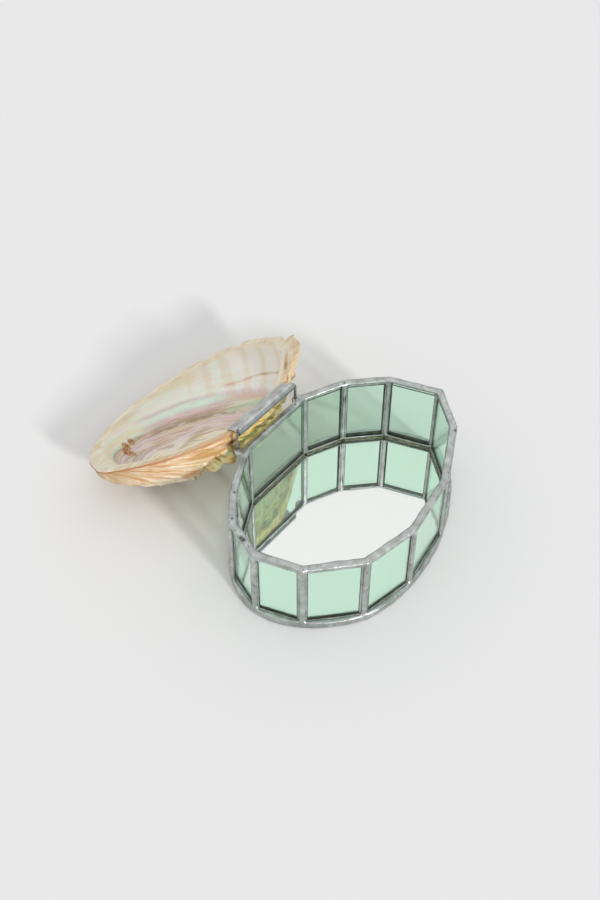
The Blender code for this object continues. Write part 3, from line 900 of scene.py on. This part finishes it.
def shell_inside_material():
    """Pearl in long streaks of green-white, pink, lilac and umber, with a cream lip, a painted green-white
    highlight band across the middle, a painted highlight on the right end wall and painted shade in the
    creases.
    """
    shade = colours()
    made, bench = new_material("shell inside")
    x, s, n = (bench.attribute(name) for name in ("along", "away", "deep"))
    place = bench.vector(x, s, n)
    level = bench.minus(n, bench.times(x, STREAK_LEAN))
    warp = bench.times(bench.minus(bench.noise(place, 0.05, 2.0), 0.5), 2.4)
    across = bench.plus(level, warp)
    left_part, middle_part = (streaks(bench, across, rows) for rows in (STREAKS_LEFT, STREAKS_MIDDLE))
    base = bench.mix(bench.band(x, -34.0, -16.0), left_part, middle_part)
    base = bench.mix(bench.band(x, 18.0, 38.0), base, streaks(bench, across, STREAKS_RIGHT))

    long_place = bench.vector(bench.times(x, 0.035), bench.times(across, 0.55), 0.0)
    long_streaks = bench.noise(long_place, 1.0, 4.0, 0.6)
    fine_place = bench.vector(bench.times(x, 0.07), bench.times(across, 1.9), 3.0)
    fine = bench.noise(fine_place, 1.0, 3.0, 0.6)
    patchy = bench.noise(place, 0.11, 3.0, 0.55)
    sheen = bench.ramp(
        bench.plus(bench.times(long_streaks, 0.6), bench.times(patchy, 0.4)),
        (
            (0.36, (1.0, 0.86, 0.84)),
            (0.43, (1.0, 0.95, 0.95)),
            (0.48, (1.0, 1.0, 0.99)),
            (0.55, (0.93, 1.0, 0.96)),
            (0.62, (0.99, 0.92, 0.98)),
        ),
    )
    base = bench.mix(0.85, base, sheen, "MULTIPLY")
    deep = bench.band(across, 16.0, 24.0)
    dark = both(bench, bench.band(fine, 0.48, 0.40), deep)
    base = bench.paint(base, srgb(172, 148, 120), dark, 0.6)
    # A darker brown line along the fold: the shell's brown with painted shade in the fold.
    crease = both(bench, between(bench, across, 23.5, 23.9, 0.35), between(bench, x, -42.0, 20.0, 8.0))
    base = bench.paint(base, srgb(160, 132, 104), crease, 0.6)
    ledge = both(bench, between(bench, across, 24.4, 24.9, 0.35), between(bench, x, -20.0, 34.0, 8.0))
    base = bench.paint(base, srgb(238, 226, 178), ledge, 0.7)
    light = bench.times(bench.band(fine, 0.53, 0.62), bench.plus(0.15, bench.times(deep, 0.4)))
    base = bench.mix(light, base, srgb(240, 232, 228))
    lilac = both(bench, bench.band(across, 23.5, 25.0), bench.band(across, 30.0, 28.0))
    lilac = both(bench, lilac, bench.band(long_streaks, 0.50, 0.58))
    base = bench.paint(base, srgb(226, 202, 218), lilac, 0.5)

    rib = bench.plus(x, bench.times(level, RIB_LEAN))
    rib = bench.plus(rib, bench.times(bench.times(level, level), RIB_CURVE / 1000.0))
    rib = bench.plus(rib, bench.times(bench.minus(patchy, 0.5), 3.0))
    round_end = bench.maths("MAXIMUM", bench.minus(80.0, s), 0.0)
    rib = bench.plus(rib, bench.times(round_end, 0.4))
    rib = bench.plus(rib, bench.times(bench.times(round_end, round_end), 0.008))
    rib = bench.minus(rib, RIB_START * 1000.0)
    rib = bench.maths("COSINE", bench.times(rib, 2 * math.pi / (RIB_PITCH * 1000.0)))
    right = both(bench, bench.band(x, 2.0, 30.0), bench.band(across, 17.5, 14.5))
    line = both(bench, bench.band(rib, 0.70, 0.98), right)
    base = bench.paint(base, srgb(236, 224, 196), line, 0.55)
    square = both(bench, bench.band(rib, 0.2, -0.6), right, bench.band(across, 0.0, 2.5))
    base = bench.paint(base, srgb(240, 248, 245), square, 0.4)
    flush = both(bench, bench.band(rib, -0.1, 0.5), bench.band(rib, 0.9, 0.6))
    flush = both(bench, flush, right, bench.band(x, 12.0, 40.0))
    base = bench.paint(base, srgb(240, 216, 212), flush, 0.45)
    pale_end = both(bench, bench.band(x, 40.0, 50.0), bench.band(across, 12.0, 9.0))
    base = bench.paint(base, srgb(254, 248, 242), pale_end, 0.75)
    divider = both(bench, bench.band(rib, 0.45, 0.9), pale_end)
    base = bench.paint(base, srgb(238, 230, 198), divider, 0.5)
    row = bench.plus(across, bench.times(round_end, 0.2))
    pink_row = both(bench, between(bench, row, 9.8, 11.2, 0.7), bench.band(x, 30.0, 38.0))
    pink_row = both(bench, pink_row, bench.plus(0.5, bench.times(bench.band(rib, -0.4, 0.6), 0.5)))
    row_colour = bench.mix(bench.band(x, 44.0, 50.0), srgb(226, 184, 170), srgb(208, 164, 126))
    base = bench.paint(base, row_colour, pink_row, 0.8)
    thin_green = both(bench, bench.band(x, -8.0, -16.0), bench.band(x, -64.0, -56.0))
    thin_green = both(bench, thin_green, between(bench, across, 20.2, 20.9, 0.4))
    base = bench.paint(base, srgb(196, 214, 196), thin_green, 0.6)
    green = both(bench, between(bench, row, 23.8, 25.3, 0.7), between(bench, x, 22.0, 38.0, 3.0))
    base = bench.paint(base, srgb(190, 214, 172), green, 0.85)
    thin_cream = both(bench, between(bench, row, 22.5, 23.1, 0.5), between(bench, x, 16.0, 38.0, 4.0))
    base = bench.paint(base, srgb(240, 230, 188), thin_cream, 0.7)
    for slope, start, at in ((0.19, -27.0, 32.2), (0.17, -12.0, 33.4)):
        fold = bench.plus(level, bench.times(bench.minus(x, start), slope))
        dark = both(bench, between(bench, fold, at + 0.6, at + 1.8, 0.6), between(bench, x, -30.0, 4.0, 4.0))
        base = bench.paint(base, srgb(184, 164, 134), dark, 0.6)
        pale = both(bench, between(bench, fold, at - 1.2, at - 0.2, 0.5), between(bench, x, -30.0, 4.0, 4.0))
        base = bench.paint(base, srgb(236, 224, 234), pale, 0.5)

    calm = bench.ramp(
        bench.noise(place, 0.10, 4.0, 0.6, 0.8),
        (
            (0.34, tuple(shade.tan)),
            (0.42, tuple(shade.cream)),
            (0.50, tuple(shade.pink)),
            (0.58, tuple(shade.lilac)),
            (0.66, tuple(shade.mint)),
        ),
    )
    near_bottom = both(bench, bench.band(level, 30.5, 33.5), bench.band(s, 74.0, 64.0))
    bottom = bench.maths("MAXIMUM", bench.band(n, 31.5, 32.6), near_bottom)
    base = bench.paint(base, calm, bottom, 0.85)
    grain = bench.noise(bench.vector(bench.times(x, 0.12), bench.times(s, 0.5), n), 0.5, 4.0, 0.6)
    near_lip = bench.band(s, 62.0, 30.0)
    pale_lip = bench.ramp(
        grain,
        ((0.34, srgb(226, 208, 172)), (0.48, srgb(236, 224, 196)), (0.62, srgb(243, 235, 212))),
    )
    tan_lip = bench.ramp(
        grain,
        ((0.34, srgb(214, 178, 134)), (0.48, srgb(226, 198, 156)), (0.62, srgb(236, 216, 182))),
    )
    inner_band = between(bench, bench.attribute("lip_place"), 0.62, 1.05, 0.10)
    tan_lip = bench.paint(tan_lip, tuple(shade.cream), inner_band, 0.8)
    lip_colour = bench.mix(near_lip, pale_lip, tan_lip)
    far_band = bench.minus(n, bench.times(patchy, 5.0))
    margin = both(bench, bench.band(far_band, 1.5, -2.0), bench.band(s, 45.0, 65.0))
    cream = bench.maths("MAXIMUM", bench.attribute("lip"), bench.times(margin, 0.8))
    base = bench.mix(cream, base, lip_colour)
    rim_line = both(bench, bench.band(bench.attribute("lip_place"), 0.16, 0.04), near_lip)
    rim_line = both(bench, rim_line, bench.attribute("lip"), bench.band(x, 10.0, -20.0))
    base = bench.paint(base, tuple(shade.rust), rim_line, 0.8)
    # Marks at the right end of the bowl: a painted highlight on the end wall, a pale line along the ridge,
    # and the brown crease with painted shade in it, darkest where it is deepest.
    for start, end, width, share, colour in (
        ((56.2, 44.2), (57.8, 45.8), 2.6, 0.6, srgb(250, 248, 240)),
        ((42.0, 19.5), (62.0, 38.0), 1.0, 0.7, srgb(246, 238, 214)),
        ((31.5, 16.5), (58.5, 39.5), 1.9, 0.75, srgb(200, 146, 86)),
        ((36.5, 20.5), (45.5, 28.0), 1.5, 0.7, srgb(160, 104, 52)),
    ):
        fold = near_line(bench, x, s, start, end, width)
        base = bench.paint(base, colour, fold, share)
    spots = None
    for spot_x, spot_across, size in CRUSTS:
        over = bench.minus(x, spot_x)
        down = bench.minus(level, spot_across)
        away = bench.maths("SQRT", bench.plus(bench.times(over, over), bench.times(down, down)))
        ragged = bench.plus(away, bench.times(bench.noise(place, 0.4, 2.0), 2.6))
        spot = bench.band(ragged, size + 1.9, size + 0.4)
        spots = spot if spots is None else bench.maths("MAXIMUM", spots, spot)
    crust = bench.ramp(
        bench.noise(place, 0.75, 3.0),
        ((0.40, srgb(140, 92, 44)), (0.52, srgb(182, 130, 74)), (0.66, srgb(216, 170, 112))),
    )
    spots = both(bench, spots, bench.band(s, 78.0, 86.0))
    base = bench.mix(spots, base, crust)
    shader = bench.node(
        "ShaderNodeBsdfPrincipled",
        {
            "Base Color": base,
            "Subsurface Weight": 0.1,
            "Subsurface Scale": 0.002,
            "Coat Weight": 0.3,
            "Coat Roughness": 0.2,
        },
    )
    rough = bench.plus(0.30, bench.times(cream, 0.2))
    bench.put(shader.inputs["Roughness"], bench.plus(rough, bench.times(spots, 0.3), clamp=True))
    height = bench.plus(bench.times(long_streaks, 0.7), bench.times(fine, 0.3))
    height = bench.plus(height, bench.times(grain, bench.times(cream, 0.6)))
    height = bench.plus(height, bench.times(spots, 1.2))
    bench.put(shader.inputs["Normal"], bench.bump(height, 0.5, 0.0007))
    finish_material(bench, shader)
    return made


def reworked(name, node, voxel, rounds, lumps, seed=0.0):
    """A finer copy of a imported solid's mesh: its edges and joints run together like solder, with lumps."""
    source = frame["nodes"][node].data.copy()
    piece = bpy.data.objects.new(name, source)
    bpy.context.scene.collection.objects.link(piece)
    weld = piece.modifiers.new("weld", "WELD")
    weld.merge_threshold = 0.00001
    remesh = piece.modifiers.new("remesh", "REMESH")
    remesh.mode = "VOXEL"
    remesh.voxel_size = voxel
    smooth = piece.modifiers.new("smooth", "SMOOTH")
    smooth.factor = 0.5
    smooth.iterations = rounds
    graph = bpy.context.evaluated_depsgraph_get()
    mesh = bpy.data.meshes.new_from_object(piece.evaluated_get(graph))
    piece.modifiers.clear()
    piece.data = mesh
    count = len(mesh.vertices)
    points = np.empty(count * 3, np.float32)
    normals = np.empty(count * 3, np.float32)
    mesh.vertices.foreach_get("co", points)
    mesh.vertex_normals.foreach_get("vector", normals)
    points, normals = points.reshape(-1, 3).astype(float), normals.reshape(-1, 3)
    shift = np.array([seed, 0.0, 0.0])
    swell = lumps * fractal(points + shift, 95.0, 2) + 0.45 * lumps * fractal(points + shift, 420.0, 2)
    return piece, points, normals, swell


def place_points(piece, points):
    piece.data.vertices.foreach_set("co", keep_inside(points).astype(np.float32).ravel())
    piece.data.update()
    piece.data.shade_smooth()


def panel_place(panel):
    """Where a panel stands: its placement with +Y outward, its length, thickness, bottom and top."""
    corners = [vertex.co.copy() for vertex in panel.vertices]
    low, high = min(c.z for c in corners), max(c.z for c in corners)
    flat = [Vector(c) for c in {(round(c.x, 6), round(c.y, 6)) for c in corners}]
    middle = sum(flat, Vector((0.0, 0.0))) / len(flat)
    pairs = sorted(((a - b).length, tuple(a), tuple(b)) for a in flat for b in flat if tuple(a) < tuple(b))
    run = Vector(pairs[-3][2]) - Vector(pairs[-3][1])
    angle = math.atan2(run.y, run.x)
    if Vector((-math.sin(angle), math.cos(angle))).dot(middle) < 0:
        angle += math.pi
    turn = Matrix.Translation((middle.x, middle.y, 0.0)) @ Matrix.Rotation(angle, 4, "Z")
    return turn, run.length, pairs[0][0], low, high


class SHELLBOX_OT_stage(bpy.types.Operator):
    """Adds the pale floor, soft light and the camera"""

    bl_idname = "shellbox.stage"
    bl_label = "Stage"

    def execute(self, context):
        scene = context.scene
        scene.view_settings.view_transform = "Standard"
        self.add_floor(scene)
        self.add_light(scene)
        self.add_camera(scene)
        return {"FINISHED"}

    def add_floor(self, scene):
        shape = bmesh.new()
        bmesh.ops.create_grid(shape, x_segments=1, y_segments=1, size=4.0)
        mesh = bpy.data.meshes.new("floor")
        shape.to_mesh(mesh)
        shape.free()
        floor = bpy.data.objects.new("floor", mesh)
        scene.collection.objects.link(floor)
        made, bench = new_material("floor")
        paper = bench.noise(bench.object_place(), 3.0, 2.0)
        pale = tuple(colours().floor)
        tone = bench.ramp(paper, ((0.3, tuple(c * 0.99 for c in pale)), (0.7, pale)))
        shader = bench.node(
            "ShaderNodeBsdfPrincipled",
            {"Base Color": tone, "Roughness": 0.9, "Specular IOR Level": 0.1},
        )
        finish_material(bench, shader)
        give_material(floor, made)
        floor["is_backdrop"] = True

    def add_light(self, scene):
        world = bpy.data.worlds.new("soft studio")
        world.use_nodes = True
        bench = NodeBench(world.node_tree)
        sky = world.node_tree.nodes["Background"]
        split = bench.node("ShaderNodeSeparateXYZ")
        bench.put(split.inputs[0], bench.node("ShaderNodeTexCoord").outputs["Generated"])
        sky_colour = bench.ramp(
            bench.band(split.outputs["Z"], -0.1, 0.9),
            (
                (0.0, (0.20, 0.20, 0.205)),
                (0.55, (0.80, 0.80, 0.805)),
                (0.85, (0.95, 0.95, 0.95)),
                (1.0, (1.0, 1.0, 1.0)),
            ),
        )
        seen = bench.node("ShaderNodeLightPath").outputs["Is Camera Ray"]
        bench.put(sky.inputs["Color"], bench.mix(seen, sky_colour, BACKDROP))
        sky.inputs["Strength"].default_value = SKY_STRENGTH
        scene.world = world
        lamp = bpy.data.lights.new("key", "SUN")
        lamp.energy = KEY_STRENGTH
        lamp.angle = KEY_ANGLE
        key = bpy.data.objects.new("key", lamp)
        scene.collection.objects.link(key)
        key.rotation_euler = Vector(KEY_WAY).to_track_quat("-Z", "Y").to_euler()

    def add_camera(self, scene):
        lens = bpy.data.cameras.new("camera")
        lens.sensor_fit = "VERTICAL"
        lens.sensor_height = SENSOR_MM
        lens.lens = LENS_MM
        lens.clip_start = 0.01
        camera = bpy.data.objects.new("camera", lens)
        scene.collection.objects.link(camera)
        eye, target = Vector(CAMERA_EYE), Vector(CAMERA_TARGET)
        camera.location = eye
        camera.rotation_euler = (target - eye).to_track_quat("-Z", "Y").to_euler()
        scene.camera = camera


class SHELLBOX_OT_shell(bpy.types.Operator):
    """Models the shell lid with its ribs, folds, lip and pearl"""

    bl_idname = "shellbox.shell"
    bl_label = "Shell lid"

    def execute(self, context):
        shell = add_piece("shell_relief", shell_mesh(), "lid")
        give_material(shell, shell_outside_material(), shell_inside_material())
        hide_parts("shell_lid")
        return {"FINISHED"}


class SHELLBOX_OT_glass(bpy.types.Operator):
    """Finishes the panels as clear pale green glass"""

    bl_idname = "shellbox.glass"
    bl_label = "Glass panels"

    def execute(self, context):
        tint = Vector(colours().glass)
        through = tuple(math.sqrt(0.92 * c) for c in tint)
        made = glass_material("green glass", tuple(tint), through, (0.72, 0.75, 0.73), waves=0.00005)
        for name in PANELS:
            give_material(frame["nodes"][name], made)
        return {"FINISHED"}


class SHELLBOX_OT_mirror(bpy.types.Operator):
    """Makes the mirror base: a clear plate silvered underneath"""

    bl_idname = "shellbox.mirror"
    bl_label = "Mirror base"

    def execute(self, context):
        plate = self.layer("mirror_plate", sizes().silver_thickness + 0.00003, MIRROR_TOP)
        clear, thin, shade = (0.975, 0.992, 0.984), (0.985, 0.995, 0.99), (0.96, 0.97, 0.96)
        give_material(plate, glass_material("mirror plate", clear, thin, shade))
        silver = self.layer("mirror_silver", 0.0, sizes().silver_thickness)
        made, bench = new_material("mirror silver")
        shader = bench.node(
            "ShaderNodeBsdfPrincipled",
            {"Base Color": (0.975, 0.975, 0.965), "Metallic": 1.0, "Roughness": 0.012},
        )
        finish_material(bench, shader)
        back, bench = new_material("mirror backing paint")
        wear_and_painted_reflection = bench.noise(bench.object_place(), 60.0, 4.0)
        paint = bench.ramp(wear_and_painted_reflection, ((0.35, srgb(92, 92, 96)), (0.65, srgb(120, 121, 124))))
        shader = bench.node("ShaderNodeBsdfPrincipled", {"Base Color": paint, "Roughness": 0.6})
        finish_material(bench, shader)
        give_material(silver, made, back)
        for face in silver.data.polygons:
            face.material_index = 1 if face.normal.z < -0.5 else 0
        # Brown strips on the silver along the walls: a painted reflection of the foil and bead.
        tarnish = self.tarnish()
        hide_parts("mirror_base")
        return {"FINISHED"}

    def tarnish(self):
        """Thin strips over the silver along the walls, from brown at the wall to clean mirror: a painted
        reflection of the foil and solder bead.
        """
        shape = bmesh.new()
        edge = shape.verts.layers.float.new("edge")
        reach = sizes().reflection_band_reach
        for number, name in enumerate(PANELS):
            turn, length, thick = panel_place(frame["nodes"][name].data)[:3]
            place = (0.0, thick / 2 - reach / 2, sizes().silver_thickness + 0.000008 + 0.000001 * number)
            place = turn @ Matrix.Translation(place) @ Matrix.Diagonal((length, reach, 0.000010, 1.0))
            for corner in bmesh.ops.create_cube(shape, size=1.0, matrix=place)["verts"]:
                corner[edge] = 0.5 - (place.inverted() @ corner.co).y
        mesh = bpy.data.meshes.new("mirror_tarnish")
        shape.to_mesh(mesh)
        shape.free()
        strips = add_piece("mirror_tarnish", mesh, "box")
        made, bench = new_material("mirror tarnish")
        cloud = bench.noise(bench.object_place(), 300.0, 4.0, 0.6)
        ragged = bench.plus(bench.attribute("edge"), bench.times(bench.minus(cloud, 0.5), 0.7))
        clean = bench.band(ragged, 0.72, 0.92)
        brown = bench.ramp(
            cloud,
            ((0.35, srgb(112, 112, 84)), (0.5, srgb(146, 146, 116)), (0.65, srgb(178, 180, 150))),
        )
        # Painted reflection: brown at the wall, fading to clean silver.
        wear_and_painted_reflection = bench.mix(clean, brown, (0.95, 0.95, 0.94))
        shader = bench.node("ShaderNodeBsdfPrincipled", {"Base Color": wear_and_painted_reflection})
        bench.put(shader.inputs["Metallic"], clean)
        bench.put(shader.inputs["Roughness"], bench.minus(0.5, bench.times(clean, 0.488)))
        finish_material(bench, shader)
        give_material(strips, made)
        return strips

    def layer(self, name, low, high):
        """The mirror's own outline, squeezed between two heights."""
        mesh = frame["nodes"]["mirror_base"].data.copy()
        for vertex in mesh.vertices:
            vertex.co.z = high if vertex.co.z > MIRROR_TOP / 2 else low
        mesh.update()
        return add_piece(name, mesh, "box")


class SHELLBOX_OT_solder(bpy.types.Operator):
    """Works the solder frame: rounded rim, seams with lumps, pits and dark hollows"""

    bl_idname = "shellbox.solder"
    bl_label = "Solder frame"

    PITS = (
        (Vector((-0.0776, 0.0120, RIM_TOP)), 0.0015, 0.0004),
        (Vector((-0.0774, 0.0138, RIM_TOP)), 0.0013, 0.0004),
        (Vector((-0.0556, 0.0372, RIM_TOP)), 0.0008, 0.0004),
        (Vector((-0.0704, 0.0262, RIM_TOP)), 0.0008, 0.0004),
        (Vector((0.0512, 0.0422, RIM_TOP)), 0.0008, 0.0004),
        (Vector((0.0600, -0.0317, RIM_TOP)), 0.0010, 0.0005),
    )
    BLOBS = (
        (Vector((-0.0749, -0.0262, RIM_TOP)), 0.0016, 0.0006),
        (Vector((-0.0493, -0.0499, RIM_TOP)), 0.0016, 0.0006),
    )

    def execute(self, context):
        size = sizes()
        frame_piece, points, normals, swell = reworked(
            "solder_work", "solder_frame", size.solder_voxel, 3, size.solder_unevenness
        )
        hollow = smoothstep(0.2, 0.9, -swell / size.solder_unevenness) * 0.30
        low = smoothstep(MIRROR_TOP + 0.003, MIRROR_TOP, points[:, 2]) * smoothstep(0.0, 0.0015, points[:, 2])
        hollow = np.maximum(hollow, 0.12 * low)
        for place, radius, depth in self.PITS:
            away = np.linalg.norm(points - np.array(place), axis=1)
            dent = np.exp(-((away / radius) ** 2))
            swell = swell - depth * dent
            hollow = np.maximum(hollow, dent)
        for place, radius, height in self.BLOBS:
            away = np.linalg.norm(points - np.array(place), axis=1)
            swell = swell + height * np.exp(-((away / radius) ** 2))
        place_points(frame_piece, points + normals * swell[:, None])
        set_attribute(frame_piece.data, "hollow", hollow)
        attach(frame_piece, "box")
        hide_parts("solder_frame")
        give_material(frame_piece, solder_material("solder", tuple(colours().solder), "hollow"))
        return {"FINISHED"}


class SHELLBOX_OT_foil(bpy.types.Operator):
    """Adds the dark edges of the foil that show beside the solder on each panel"""

    bl_idname = "shellbox.foil"
    bl_label = "Foil edges"

    def execute(self, context):
        dark, bright = bmesh.new(), bmesh.new()
        for name in PANELS:
            self.wrap(dark, bright, frame["nodes"][name].data)
        foil = self.piece("foil_edges", dark)
        tinned = self.piece("tinned_edges", bright)
        look = solder_material("tinned foil", tuple(0.95 * c for c in colours().solder))
        give_material(tinned, look)
        give_material(self.ledge(), look)
        made, bench = new_material("dark foil")
        cloud = bench.noise(bench.object_place(), 220.0, 3.0)
        tone = bench.ramp(
            cloud,
            ((0.35, srgb(52, 56, 46)), (0.6, srgb(88, 90, 76)), (0.8, srgb(140, 140, 126))),
        )
        shader = bench.node("ShaderNodeBsdfPrincipled", {"Base Color": tone, "Metallic": 0.6})
        bench.put(shader.inputs["Roughness"], bench.plus(0.35, bench.times(cloud, 0.3)))
        finish_material(bench, shader)
        give_material(foil, made)
        return {"FINISHED"}

    def ledge(self):
        """The solder that covers the mirror plate outside the walls, lumpy and sloping to the oval edge."""
        walls = []
        for name in PANELS:
            turn, _, thick = panel_place(frame["nodes"][name].data)[:3]
            out = (turn.to_3x3() @ Vector((0.0, 1.0, 0.0))).to_2d()
            walls.append((out, out.dot(turn.translation.to_2d()) + thick / 2))
        corners = (vertex.co for vertex in frame["nodes"]["mirror_base"].data.vertices)
        rim = [corner for corner in corners if corner.z > MIRROR_TOP / 2]
        rim = sorted((math.atan2(corner.y, corner.x), corner.to_2d().length) for corner in rim)
        turns, reaches = (np.array(part) for part in zip(*rim))
        steps, rows = 720, 7
        points = []
        for step in range(steps):
            turn = 2 * math.pi * step / steps - math.pi
            way = Vector((math.cos(turn), math.sin(turn)))
            outer = float(np.interp(turn, turns, reaches, period=2 * math.pi)) - 0.0002
            inner = min(gap / way.dot(out) for out, gap in walls if way.dot(out) > 0.05) + 0.00005
            inner = min(inner, outer - 0.0003)
            for row in range(rows):
                share = row / (rows - 1)
                spot = way * (inner + (outer - inner) * share)
                lump = 0.00012 * noise.noise(Vector((spot.x * 260.0, spot.y * 260.0, 2.0)))
                points.append((spot.x, spot.y, MIRROR_TOP + 0.0016 - 0.0011 * share + lump))
            points.append((*(way * outer), MIRROR_TOP + 0.00004))
            points.append((*(way * inner), MIRROR_TOP + 0.00004))
        ring = rows + 2
        faces = []
        for step in range(steps):
            here, there = step * ring, (step + 1) % steps * ring
            for row in range(ring):
                after = (row + 1) % ring
                faces.append((here + row, here + after, there + after, there + row))
        mesh = bpy.data.meshes.new("solder_ledge")
        mesh.from_pydata(points, [], faces)
        mesh.shade_smooth()
        made = add_piece("solder_ledge", mesh, "box")
        return made

    def piece(self, name, shape):
        mesh = bpy.data.meshes.new(name)
        shape.to_mesh(mesh)
        shape.free()
        made = add_piece(name, mesh, "box")
        return made

    def wrap(self, dark, bright, panel):
        """Thin strips on both faces of a panel, along its edges: dark foil, and solder over part of it."""
        turn, length, thick, low, high = panel_place(panel)
        size = sizes()
        for side in (-1.0, 1.0):
            bottom = 0.0023 if side > 0 else 0.0017
            share = 1.0 if side > 0 else 0.7
            layers = ((dark, size.foil_reach, 0.00008), (bright, size.tinned_reach, 0.00016))
            for shape, reach, skin in layers:
                reach *= share
                y = side * (thick / 2 + skin / 2 + 0.00002)
                middle = (low + high) / 2
                strips = [
                    (-(length - reach) / 2, middle, reach, high - low),
                    ((length - reach) / 2, middle, reach, high - low),
                ]
                if shape is dark:
                    strips.append((0.0, low + bottom / 2, length, bottom))
                    strips.append((0.0, high - 0.0020, length, 0.0008))
                for x, z, wide, tall in strips:
                    place = turn @ Matrix.Translation((x, y, z)) @ Matrix.Diagonal((wide, skin, tall, 1.0))
                    bmesh.ops.create_cube(shape, size=1.0, matrix=place)


class SHELLBOX_OT_hinge(bpy.types.Operator):
    """Finishes the hinge: wire, tube and the smear of solder on the shell"""

    bl_idname = "shellbox.hinge"
    bl_label = "Hinge"

    def execute(self, context):
        wire = solder_material("hinge wire", (0.36, 0.37, 0.37), bump=0.0001)
        give_material(frame["nodes"]["hinge_rod"], wire)
        tube = solder_material("hinge tube", (0.42, 0.44, 0.46), bump=0.00025)
        give_material(frame["nodes"]["hinge_tube"], tube)
        smear, points, normals, swell = reworked("hinge_smear", "hinge_solder", 0.00035, 4, 0.00018, seed=0.3)
        place_points(smear, points + normals * swell[:, None])
        set_attribute(smear.data, "hollow", smoothstep(0.2, 1.0, -swell / 0.00018) * 0.3)
        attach(smear, "lid")
        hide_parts("hinge_solder")
        smear_look = solder_material("hinge solder", (0.68, 0.69, 0.68), "hollow")
        give_material(smear, smear_look)
        bead = self.bead()
        give_material(bead, smear_look)
        return {"FINISHED"}

    def bead(self):
        """The uneven bead of solder that fills the corner between the smear and the tube."""
        low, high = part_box("hinge_solder")
        tube_low, tube_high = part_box("hinge_tube")
        radius = (tube_high.z - tube_low.z) / 2
        centre = Vector((0.0, (tube_low.y + tube_high.y) / 2, (tube_low.z + tube_high.z) / 2))
        seat = math.radians(100.0) - LID_DROP
        seat = centre + radius * Vector((0.0, math.cos(seat), math.sin(seat)))
        steps, sides = 90, 14
        along = np.linspace(low.x + 0.0004, high.x - 0.0004, steps)
        points = []
        for x in along:
            ends = min(1.0, (x - along[0]) / 0.0012 + 0.25, (along[-1] - x) / 0.0012 + 0.25)
            size = 0.0009 * (0.9 + 0.2 * noise.noise(Vector((x * 300.0, 0.0, 4.0)))) * math.sqrt(ends)
            for side in range(sides):
                turn = 2 * math.pi * side / sides
                points.append((x, seat.y + size * math.cos(turn), seat.z + size * math.sin(turn)))
        faces = []
        for step in range(steps - 1):
            for side in range(sides):
                after = (side + 1) % sides
                here, there = step * sides, (step + 1) * sides
                faces.append((here + side, here + after, there + after, there + side))
        faces += [tuple(reversed(range(sides))), tuple(range((steps - 1) * sides, steps * sides))]
        mesh = bpy.data.meshes.new("hinge_bead")
        mesh.from_pydata(keep_inside(np.array(points)).tolist(), [], faces)
        mesh.shade_smooth()
        piece = add_piece("hinge_bead", mesh, "lid")
        set_attribute(mesh, "hollow", np.zeros(len(points)))
        return piece


class SHELLBOX_PT_panel(bpy.types.Panel):
    """Lists the steps that finish the shell box"""

    bl_label = "Shell Box"
    bl_idname = "SHELLBOX_PT_panel"
    bl_space_type = "VIEW_3D"
    bl_region_type = "UI"
    bl_category = "Shell Box"

    def draw(self, context):
        for step in STEPS:
            self.layout.operator(step.bl_idname)
        for group in (sizes(), colours()):
            box = self.layout.box()
            for name in group.bl_rna.properties.keys():
                if name not in ("rna_type", "name"):
                    box.prop(group, name)


STEPS = (
    SHELLBOX_OT_stage,
    SHELLBOX_OT_shell,
    SHELLBOX_OT_glass,
    SHELLBOX_OT_mirror,
    SHELLBOX_OT_solder,
    SHELLBOX_OT_foil,
    SHELLBOX_OT_hinge,
)
CLASSES = (ShellBoxSizes, ShellBoxColours, *STEPS, SHELLBOX_PT_panel)


def register():
    for cls in CLASSES:
        bpy.utils.register_class(cls)
    bpy.types.Scene.shell_box_sizes = PointerProperty(type=ShellBoxSizes)
    bpy.types.Scene.shell_box_colours = PointerProperty(type=ShellBoxColours)


def unregister():
    del bpy.types.Scene.shell_box_colours
    del bpy.types.Scene.shell_box_sizes
    for cls in reversed(CLASSES):
        bpy.utils.unregister_class(cls)


def plain(box):
    return [[float(value) for value in corner] for corner in box]


def main():
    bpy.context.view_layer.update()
    register()
    bpy.ops.shellbox.stage()
    bpy.ops.shellbox.shell()
    bpy.ops.shellbox.glass()
    bpy.ops.shellbox.mirror()
    bpy.ops.shellbox.solder()
    bpy.ops.shellbox.foil()
    bpy.ops.shellbox.hinge()
    bpy.context.view_layer.update()


if __name__ == "__main__":
    main()
